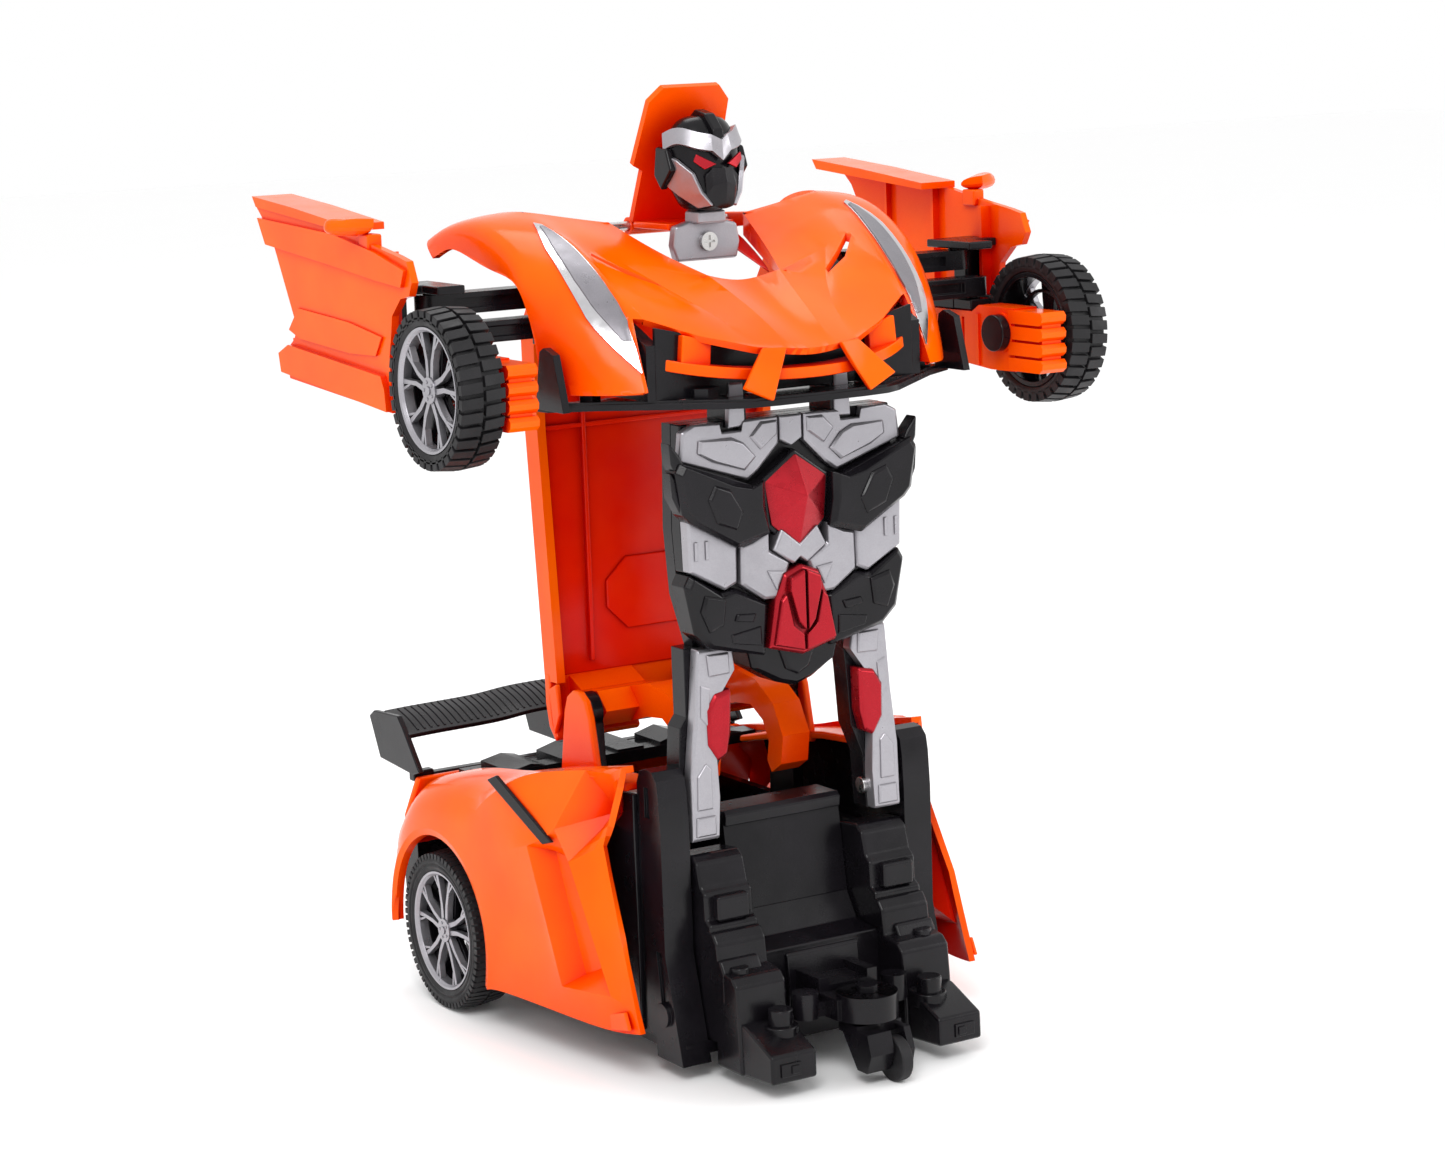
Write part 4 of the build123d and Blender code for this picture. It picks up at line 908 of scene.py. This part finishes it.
def turned(outline, centre, angle):
    """An outline in (radial, sideways) millimetres turned to an angle about an axle."""
    c, s = cos(angle), sin(angle)
    return [(centre[0] + u * c - v * s, centre[1] + u * s + v * c) for u, v in outline]


def tyre(name, node, centre, outer, inner, x_range, side, blocks, depth):
    """A tyre's carcass with two staggered bands of tread blocks."""
    low, high = x_range
    base = outer - depth
    bm = bmesh.new()
    add_ring(bm, [
        (low + 0.5, inner), (low, inner + 0.8), (low, base - 1.6), (low + 0.9, base), (high - 0.9, base),
        (high, base - 1.6), (high, inner + 2.2), (high - 0.4, inner + 1.8), (high - 0.1, inner + 1.2),
        (high - 0.6, inner),
    ], centre, side, 96)
    pitch = 2 * pi / blocks
    middle = (low + high) / 2
    for band, ends in enumerate(((low, middle - TREAD_GAP), (middle + TREAD_GAP, high))):
        for i in range(blocks):
            corners = []
            for x, skew in zip(ends, (-BLOCK_SKEW, BLOCK_SKEW)):
                radii = (base - 1.9, outer - 0.5) if x in x_range else (base - 0.2, outer)
                for share in (-BLOCK_HALF, BLOCK_HALF):
                    angle = pitch * (i + 0.5 * band + share + skew)
                    corners.append([bm.verts.new(on_axle(centre, side * x, radius, angle)) for radius in radii])
            (a0, a1), (b0, b1), (c0, c1), (d0, d1) = corners
            for face in ((a0, b0, d0, c0), (a1, c1, d1, b1), (a0, a1, b1, b0), (c0, d0, d1, c1),
                         (a0, c0, c1, a1), (b0, b1, d1, d0)):
                bm.faces.new(face)
    obj = object_from(name, bm)
    round_edges(obj, 0.15, 2, 40)
    place(obj, node)


def spoke_arms(radius):
    """One of the spoke pairs: two arms that spread and fork before the rim."""
    arms = []
    for k in SIDES:
        arms.append([(1.5, 0.15 * k), (1.5, 1.5 * k), (6.6, 1.9 * k), (radius - 4.6, 3.0 * k),
                     (radius - 1.0, 4.5 * k), (radius - 1.0, 3.1 * k), (radius - 4.8, 1.9 * k), (6.8, 0.75 * k)])
        arms.append([(radius - 5.4, 2.2 * k), (radius - 5.0, 3.1 * k), (radius - 0.9, 6.9 * k),
                     (radius - 0.9, 5.7 * k)])
    return arms


def spoke_angles(start=0.0):
    return [2 * pi * i / SPOKES + start for i in range(SPOKES)]


def rim(name, node, centre, radius, x_range, side, bore):
    """A bright face with forked spokes and bolts, in front of a dark drum."""
    low, high = x_range

    def behind(deep, shallow):
        return sorted((side * (high - deep), side * (high - shallow)))

    bm = bmesh.new()
    add_ring(bm, [(high - 3.4, radius - 1.3), (high - 0.9, radius - 1.3), (high - 0.1, radius - 0.7),
                  (high, radius - 0.1), (high - 3.4, radius - 0.1)], centre, side)
    for angle in spoke_angles(FIRST_SPOKE):
        for arm in spoke_arms(radius):
            add_prism(bm, turned(arm, centre, angle), "X", *behind(2.6, 0.9))
    add_prism(bm, circle(centre, 3.1, 30), "X", *behind(3.2, 0.5))
    for angle in spoke_angles():
        bolt, = turned([(2.0, 0.0)], centre, angle)
        add_prism(bm, circle(bolt, 0.38, 10), "X", *behind(0.6, 0.25))
    add_prism(bm, circle(centre, 1.0, 20), "X", *behind(0.6, 0.15))
    face = object_from(name + "_face", bm)
    round_edges(face, 0.22, 2)
    place(face, node)

    bm = bmesh.new()
    add_ring(bm, [(low, radius - 0.1), (low, radius - 1.4), (high - 3.3, radius - 1.4),
                  (high - 3.3, radius - 0.1)], centre, side)
    web = [(2.4, -1.7), (2.4, 1.7), (radius - 1.3, 3.2), (radius - 1.3, -3.2)]
    for angle in spoke_angles(FIRST_SPOKE):
        add_prism(bm, turned(web, centre, angle), "X", *behind(4.4, 3.0))
    step = 0.62 * radius
    add_ring(bm, [(low, bore), (low, 3.6), (high - 3.4, 3.6), (high - 3.4, bore)], centre, side, 36)
    add_ring(bm, [(high - 6.0, step), (high - 6.0, step + 0.9), (high - 4.2, step + 0.9), (high - 4.2, step)],
             centre, side, 36)
    drum = object_from(name + "_drum", bm)
    round_edges(drum, 0.2, 2)
    place(drum, node, look="black_plastic", hides=False)


def wheels():
    for side, name in NAMED_SIDES:
        tyre(f"front_tread_{name}", f"front_tyre_{name}", FRONT_AXLE, 18.8, 14.6, (79.6, 90.6), side, 34, 1.1)
        rim(f"front_wheel_{name}", f"front_rim_{name}", FRONT_AXLE, 14.6, (80.0, 90.2), side, 2.0)
        tyre(f"rear_tread_{name}", "rear_tyres", REAR_AXLE, 20.7, 15.6, (45.5, 57.0), side, 64, 0.5)
        rim(f"rear_wheel_{name}", "rear_rims", REAR_AXLE, 15.6, (46.0, 56.6), side, 1.5)


# ---------------------------------------------------------------- doors and arms
DOOR_SKIN = [
    (53.3, 208.6), (50.6, 209.4), (7.4, 204.9), (-14, 201.0), (-24.6, 199.4), (-29.4, 198.4), (-31.6, 193.6),
    (-29.8, 190.4), (-25.4, 189.6), (-20.6, 185.4), (-19.4, 180), (-18.2, 176), (-18.2, 162.6), (38.1, 166.4),
    (40.2, 172.8), (34.2, 176.4), (32.6, 179.6), (45, 201.8),
]
DOOR_RELIEF = [
    # the raised waist, the sill, the field above it and the flange along the top
    ([(50.4, 205.4), (46.4, 199.0), (8, 195.6), (-14, 193.4), (-27.6, 192.4), (-29.6, 196.4), (-14, 200), (8, 203.2)],
     "X", 87.6, 89.0),
    ([(39.8, 168), (40.8, 172.6), (35, 175.0), (-16, 171.2), (-17.6, 168.2), (-18.2, 163)], "X", 85.8, 89.6),
    ([(36, 178.6), (30, 176.8), (2, 175.2), (-12, 175.6), (-15.6, 180.2), (2, 182.6), (30, 184.2)], "X", 87.6, 88.6),
    ([(53.6, 210.6), (30, 208.6), (2, 205.6), (2, 203.9), (30, 206.2), (51.6, 208.0)], "X", 77.8, 88.6),
    # ribs on the inner face
    (rect(-16.5, 175.4, -15.3, 199.8), "X", 83.4, 86.4),
    (rect(6.0, 174.0, 7.2, 203.6), "X", 84.2, 86.4),
    (rect(28.0, 176.0, 29.2, 206.0), "X", 84.6, 86.4),
    ([(-18.0, 172.6), (38.6, 176.2), (38.6, 174.9), (-18.0, 171.3)], "X", 83.4, 86.4),
]
MIRROR_POD = {
    "f0": (87.4, -12.8, 203.0), "f1": (95.6, -8.8, 203.4), "f2": (97.4, -3.8, 203.8),
    "g0": (87.2, -12.0, 207.4), "g1": (94.6, -8.6, 208.1), "g2": (96.8, -4.0, 208.2),
    "h0": (84.4, -5.4, 202.9), "h1": (90.0, -1.6, 203.2), "h2": (95.0, -0.9, 203.8),
    "i0": (84.6, -5.8, 206.6), "i1": (89.8, -2.4, 207.6), "i2": (94.4, -1.4, 208.0),
}
MIRROR_FACES = [
    ("f0", "f1", "g1", "g0"), ("f1", "f2", "g2", "g1"), ("f2", "h2", "i2", "g2"), ("h2", "h1", "i1", "i2"),
    ("h1", "h0", "i0", "i1"), ("h0", "f0", "g0", "i0"), ("g0", "g1", "i1", "i0"), ("g1", "g2", "i2", "i1"),
    ("f0", "h0", "h1", "f1"), ("f1", "h1", "h2", "f2"),
]
BRACKET_NOSE = [
    (-28, 174.4), (-31, 176.2), (-46, 176.2), (-46, 160.3), (-36, 160.2), (-20, 161.6), (-3, 163.5), (-3, 174.4),
]
AXLE_BORE = circle(FRONT_AXLE, PIN_BORE, 24)


def door(side, name):
    """A door panel with its relief and its mirror pod."""
    node = f"door_panel_{name}"
    solid(f"door_skin_{name}", node, on_side(side, [(DOOR_SKIN, "X", 86.2, 88.0)]), 0.45,
          adds=on_side(side, DOOR_RELIEF))
    pod = cage(f"mirror_pod_{name}", {key: (side * x, y, z) for key, (x, y, z) in MIRROR_POD.items()},
               MIRROR_FACES, [["f0", "g0", "g1"], ["h0", "i0"], ["g0", "i0"]], inside=(side * 90, -6, 205),
               thickness=1.0, mirrored=False)
    place(pod, node, hides=False)
    stalk = [(85.0, -11.4), (88.6, -11.0), (88.4, -5.4), (85.0, -6.0)]
    solid(f"mirror_stalk_{name}", node, on_side(side, [(stalk, "Z", 199.6, 203.8)]), 0.5, hides=False)


def bracket(side, name):
    """The grooved block that carries a front wheel, and the black carrier between its bars."""
    node = f"wheel_bracket_{name}"
    block = prisms(f"bracket_block_{name}", on_side(side, [(BRACKET_NOSE, "X", 71.4, 78.4)]))
    slots = [(rect(y - 1.1, 165.0, y, 172.8), "X", 70, 72.6) for y in (-5.6 - 3.0 * i for i in range(7))]
    carve(block, prisms("slots", on_side(side, [(AXLE_BORE, "X", 70, 80), *slots])))
    raised = [
        (circle(FRONT_AXLE, 5.0, 36), "X", 70.8, 71.8),
        ([(-45, 161.2), (-56.6, 161.2), (-56.9, 175.4), (-45, 175.6)], "X", 71.8, 77.6),
        (rect(-31.4, 161.0, -30, 174.0), "X", 70.8, 72),
    ]
    for z in (160.6 + 3.95 * i for i in range(4)):
        raised.append(([(-44, z), (-56.6, z), (-57.9, z + 1.0), (-58.1, z + 2.3), (-57.2, z + 3.3), (-44, z + 3.3)],
                       "X", 70.8, 78.3))
    carve(block, prisms("raised", on_side(side, raised)), "UNION")
    carve(block, prisms("bore", on_side(side, [(AXLE_BORE, "X", 69, 80)])))
    round_edges(block, 0.5)
    place(block, node)
    carrier = prisms(f"bar_carrier_{name}", on_side(side, [
        (rect(72, -19.4, 86, -8), "Z", 174.4, 177.2),
        ([(72, -27), (79.2, -27), (79.2, -19.4), (86, -19.4), (86, -8), (72, -8)], "Z", 189.8, 191.8),
        (rect(72, -27, 78.4, -19.4), "Z", 174.5, 177.2),
        (rect(80.4, -13.4, 86, -8), "Z", 176.8, 190.2),
        (circle((75.5, -15.0), 1.4, 20), "Z", 184.0, 190.0),
        (circle((75.5, -23.0), 1.4, 20), "Z", 177.0, 183.0),
    ]))
    round_edges(carrier, 0.4, 3, 40)
    place(carrier, node, look="black_plastic", hides=False)


def doors():
    for side, name in NAMED_SIDES:
        door(side, name)
        bracket(side, name)


# ---------------------------------------------------------------- base, seat and feet
def feet():
    """Towers of stepped blocks, the pegs on the insteps and the small marks on the toes."""
    solid("foot_towers", "foot_blocks", both([
        ([(-39.5, 9), (-39.5, 50.4), (-41.6, 52.6), (-49.6, 53.4), (-52.0, 51.6), (-53.6, 46.0), (-55.4, 44.6),
          (-55.6, 38.6), (-57.6, 37.4), (-57.6, 9)], "X", 17.0, 30.6),
        ([(-52, 9), (-52, 36.4), (-58.6, 36.0), (-60.4, 33.6), (-61.2, 27.6), (-66.6, 26.9), (-68.6, 25.0),
          (-69.4, 17.4), (-70, 3.5), (-58.6, 3.5), (-58.6, 9)], "X", 16.8, 30.8),
        ([(-66, 3.5), (-66, 16.6), (-71.2, 15.9), (-82.4, 11.2), (-82.6, 4.4), (-70, 3.5)], "X", 17.6, 30.2),
        (rect(-58, 38.2, -52.6, 44.4), "X", 19.4, 28.4),
        ([(-63.6, 27.0), (-63.6, 19.4), (-57, 19.4), (-57, 30.0), (-61.8, 30.0)], "X", 19.8, 30.9),
    ]), 0.8)
    solid("instep_pegs", "foot_blocks", both([
        (circle((21.5, -73.2), 3.0, 28), "Z", 12, 19.5),
        (circle((21.5, -73.2), 4.2, 28), "Z", 12, 15.6),
        (circle((26.5, -63.4), 2.4, 24), "Z", 25, 28.4),
    ]), 0.4, hides=False)
    toes = prisms("toe_caps", both([
        (rect(22.2, 6.0, 27.8, 9.2), "Y", -83.0, -82.0),
        (rect(22.9, 6.6, 25.1, 8.6), "Y", -83.4, -82.6),
    ]))
    round_edges(toes, 0.2, 2)
    place(toes, "foot_blocks", hides=False)


def base_front():
    """Side plates, the seat's rails and the ring that carries the caster."""
    upright = [(-40, 9), (-40, 71.0), (-41.4, 74.0), (-44, 75), (-47.2, 74.6), (-49.2, 72.6), (-49.9, 69.0),
               (-50.5, 60), (-50.5, 30), (-57, 4), (-45, 4), (-45, 9)]
    solid("uprights", "side_plates", both([(upright, "X", 31.2, 39.2)]), 1.0, cuts=both([
        (rect(-45.6, 63, -43.4, 70.4), "X", 38.6, 40),
        ([(-48.6, 30.4), (-51.6, 18.0), (-48, 18.0), (-46.4, 30.4)], "X", 38.6, 40),
        (circle(LEG_PIN, PIN_BORE, 24), "X", 30, 35),
        (rect(-46, 3, -39, 9), "X", 31, 37.6),
    ]), adds=both([(circle((-49.4, 15.4), 3.0, 30), "X", 38.6, 40.2)]))
    solid("seat_rails", "chassis", [
        ([(-45.9, 36.4), (-50.0, 29.8), (-58.5, 28.9), (-58.5, 27.4), (-49.4, 28.4), (-45.0, 35.6)], "X", -16.6, 16.6),
        ([(-42.4, 61.0), (-43.8, 59.6), (-43.4, 56.8), (-41.6, 57.4)], "X", -16.8, 16.8),
        ([(-58.5, 6), (-58.5, 27.6), (-59.3, 27.0), (-60.0, 20.6), (-59.4, 6)], "X", -10.4, 10.4),
    ], 0.5, look="black_plastic", hides=False)
    solid("caster_ring", "chassis", [
        (circle((0, -78.0), 7.4, 40), "Z", 14.9, 21.0),
        (rect(-8.4, -70.0, 8.4, -58.6), "Z", 19.4, 21.4),
        (rect(-8.4, -70.0, -5.6, -58.6), "Z", 20.6, 23.4),
        (rect(5.6, -70.0, 8.4, -58.6), "Z", 20.6, 23.4),
        (circle((12.8, -70.6), 3.2, 30), "Z", 14.9, 21.2),
        (circle((-12.8, -70.6), 3.2, 30), "Z", 14.9, 21.2),
        (rect(-14, -73, 14, -66), "Z", 15.2, 18.6),
    ], 0.5, look="black_plastic", hides=False, cuts=[(circle((0, -78.0), 2.6, 24), "Z", 10, 26)])


def interior():
    """Walls and shelves that close the base, and the roof's inner lining, painted red as painted shade."""
    wall = [(-39.6, 9.2), (-39.6, 68.0), (-5, 65.0), (12, 61.6), (26, 58.6), (20, 46.2), (6, 30), (4, 9.2)]
    solid("base_inner_walls", "chassis", both([(wall, "X", 38.4, 40.2)]), 0.4, look="black_plastic", hides=False)
    solid("hinge_tray", "rear_body_shell", both([
        ([(-37.6, 68.4), (-37.6, 70.4), (-14, 68.6), (8, 64.8), (26, 60.6), (26, 58.8), (8, 62.8), (-14, 66.6)],
         "X", 30.9, 41.2),
        ([(-9.4, 65.0), (-6.4, 80.0), (-4.6, 84.0), (-1.6, 85.9), (1.6, 85.9), (4.6, 84.0), (6.4, 80.0),
          (9.6, 62.4)], "X", 30.8, 32.8),
    ]), 0.7, hides=False)
    solid("roof_skirt", "roof_panel", both([
        ([(17, 88), (17, 80), (15.6, 74), (12.6, 70.6), (11.4, 71.8), (13.4, 75.6), (14.2, 80), (14.2, 88)],
         "X", 7.6, 32.2),
        ([(15, 84), (12.6, 72), (9.4, 78), (10.6, 86)], "X", 31.0, 32.4),
    ]), 0.6, hides=False)
    # painted shade: the roof's lining is given the red of the orange plastic in shadow
    solid("roof_lining", "roof_panel", [
        ([(-31.4, 87.0), (31.4, 87.0), (33.6, 150), (33.6, 175.6), (-33.6, 175.6), (-33.6, 150)], "Y", 14.0, 14.9),
        ([(-9, 97), (-15, 103), (-15, 110), (-9, 115.6), (9, 115.6), (15, 110), (15, 103), (9, 97)],
         "Y", 13.2, 14.6),
        (rect(-20.6, 90, -19.4, 172), "Y", 12.6, 14.6),
        (rect(19.4, 90, 20.6, 172), "Y", 12.6, 14.6),
        (rect(-32.6, 150, 32.6, 151.2), "Y", 12.8, 14.6),
    ], 0.4, hides=False, finish=PAINTED_SHADE_RED)


def wing():
    """A swept blade between the end plates, with a pattern of fine raised ribs."""
    points = {}
    for i, (x, lift) in enumerate(((0, 1.5), (14, 1.4), (21, 0.1), (40, 0.0), (49.4, -0.4))):
        points.update({f"a{i}": (x, 61.2, 66.9 + lift), f"b{i}": (x, 68.6, 69.9 + lift),
                       f"c{i}": (x, 76, 71.2 + lift)})
    faces = strip_faces("a", "b", 4) + strip_faces("b", "c", 4)
    blade = cage("wing_blade", points, faces, inside=(0, 68, 0), levels=3, thickness=1.3)
    place(blade, "rear_wing")
    ribs = [
        ([(x - 0.25, 62.6), (x + 0.25, 62.6), (x + 0.65, 75.2), (x + 0.15, 75.2)], "Z", 66.0, 73.4)
        for x in (2.0 * i for i in range(-23, 24) if i)
    ]
    weave = prisms("wing_weave", ribs)
    carve(weave, copy_object(blade, "wing_weave_top"), "INTERSECT")
    weave.location.z += 0.25 * MM
    place(weave, "rear_wing", hides=False)
    solid("wing_ends", "rear_wing", both([
        ([(83.2, 68.4), (80.4, 70.2), (66.0, 71.0), (63.4, 68.4), (54.6, 57.6), (58.3, 56.3), (77.8, 57.6)],
         "X", 48.8, 50.4),
        (rect(58.5, 54.4, 61.5, 57.2), "X", 44, 50),
    ]), 0.4, hides=False)
    solid("wing_fin", "rear_wing", [
        ([(90.6, 68.8), (68, 68.1), (59, 58), (62, 56.4), (85, 56.6)], "X", -1.1, 1.1),
        (rect(58.4, 54.3, 61.4, 56.3), "X", -44, 44),
    ], 0.35, hides=False)


def engine():
    """Humps on the engine deck and a vent in the rear bumper."""
    painted_shade = object_from("engine_deck", copy_of("engine_cover"))
    carve(painted_shade, prisms("humps", [*both([
        ([(9, 57.2), (9, 61.4), (15, 63.0), (21, 61.4), (21, 57.2)], "Y", 30.4, 44),
        ([(26, 57.4), (26, 60.6), (30, 61.4), (36, 60.2), (36, 57.4)], "Y", 30.4, 47),
    ]), (rect(-4, 57.2, 4, 61.2), "Y", 30.4, 52)]), "UNION")
    round_edges(painted_shade, 0.5)
    place(painted_shade, "engine_cover")
    bumper = object_from("bumper_moulded", copy_of("rear_bumper"))
    carve(bumper, prisms("vents", both([([(8, 24), (40, 24), (44, 32), (8, 32)], "Y", 66.2, 69)])))
    round_edges(bumper, 0.7)
    place(bumper, "rear_bumper")


def copy_object(obj, name):
    graph = bpy.context.evaluated_depsgraph_get()
    return bpy.data.objects.new(name, bpy.data.meshes.new_from_object(obj.evaluated_get(graph)))


for build in (wheels, doors, feet, base_front, interior, wing, engine):
    build()


# ---------------------------------------------------------------- plain moulded pieces
RADII = {
    "chassis": 0.5, "hinge_ribs": 0.4, "side_strips": 0.3, "battery_door": 0.3, "battery_pack": 0.3,
    "circuit_board": 0.15, "gearbox": 0.6, "motors": 0.5, "leg_pins": 0.2, "rear_axle": 0.2, "drive_gear": 0.1,
    "caster_fork": 0.5, "caster_wheel": 0.5, "power_switch": 0.3, "torso_back": 0.6, "roof_panel": 0.6,
    "spine_pin": 0.2, "chest_frame": 0.3, "flap_pin": 0.2, "windscreen_flap": 0.4, "neck_screw": 0.15,
}
for _, name in NAMED_SIDES:
    RADII.update({f"arm_bar_upper_{name}": 0.3, f"arm_bar_lower_{name}": 0.3, f"front_axle_{name}": 0.3})
for node, radius in RADII.items():
    place(round_edges(object_from(node + "_moulded", copy_of(node)), radius), node)


# ---------------------------------------------------------------- stage
FLOOR_HALF_M = 4.0
LIGHTS = [
    # name, place, size and power; each looks at the middle of the toy, in metres
    ("key", (-0.55, -0.75, 0.95), 0.45, 7.0),
    ("fill", (0.9, -0.6, 0.45), 0.5, 3.0),
    ("top", (0.1, 0.35, 1.1), 0.5, 3.0),
]
MIDDLE_M = Vector((0.0, 0.0, 0.12))
CAMERA_PLACE_M = Vector((-0.4236, -0.7092, 0.2554))
AZIMUTH, ELEVATION, ROLL = radians(-31.53), radians(10.01), radians(2.01)


def stage():
    """White paper under the toy, a white world, and three soft lights."""
    bm = bmesh.new()
    bmesh.ops.create_grid(bm, x_segments=1, y_segments=1, size=FLOOR_HALF_M)
    floor = object_from("floor", bm)
    n = Nodes("floor_paper")
    n.colour(n.mix(n.noise(9, 3), (0.985, 0.985, 0.985), (0.995, 0.995, 0.995)))
    n.set(Roughness=0.75)
    floor.data.materials.append(n.material)
    in_scene(floor)
    world = bpy.data.worlds.new("studio")
    world.use_nodes = True
    world.node_tree.nodes["Background"].inputs["Color"].default_value = (1.0, 1.0, 1.0, 1.0)
    world.node_tree.nodes["Background"].inputs["Strength"].default_value = 1.0
    bpy.context.scene.world = world
    for name, spot, size, power in LIGHTS:
        light = bpy.data.lights.new(name, "AREA")
        light.size = size
        light.energy = power
        lamp = bpy.data.objects.new(name, light)
        lamp.location = spot
        lamp.rotation_euler = (MIDDLE_M - Vector(spot)).to_track_quat("-Z", "Y").to_euler()
        in_scene(lamp)
    bpy.context.scene.view_settings.view_transform = "Standard"


def camera():
    """The camera 0.83 m from the toy, a little above it and towards its -X side."""
    back = Vector((sin(AZIMUTH) * cos(ELEVATION), -cos(AZIMUTH) * cos(ELEVATION), sin(ELEVATION)))
    right = Vector((cos(AZIMUTH), sin(AZIMUTH), 0.0))
    up = back.cross(right)
    turned_right = right * cos(ROLL) - up * sin(ROLL)
    turned_up = right * sin(ROLL) + up * cos(ROLL)
    lens = bpy.data.cameras.new("camera")
    lens.lens = 82.42
    lens.sensor_width = 36.0
    lens.clip_start = 0.05
    view = bpy.data.objects.new("camera", lens)
    basis = Matrix((turned_right, turned_up, back)).transposed().to_4x4()
    basis.translation = CAMERA_PLACE_M
    view.matrix_world = basis
    in_scene(view)
    bpy.context.scene.camera = view
stage()
camera()
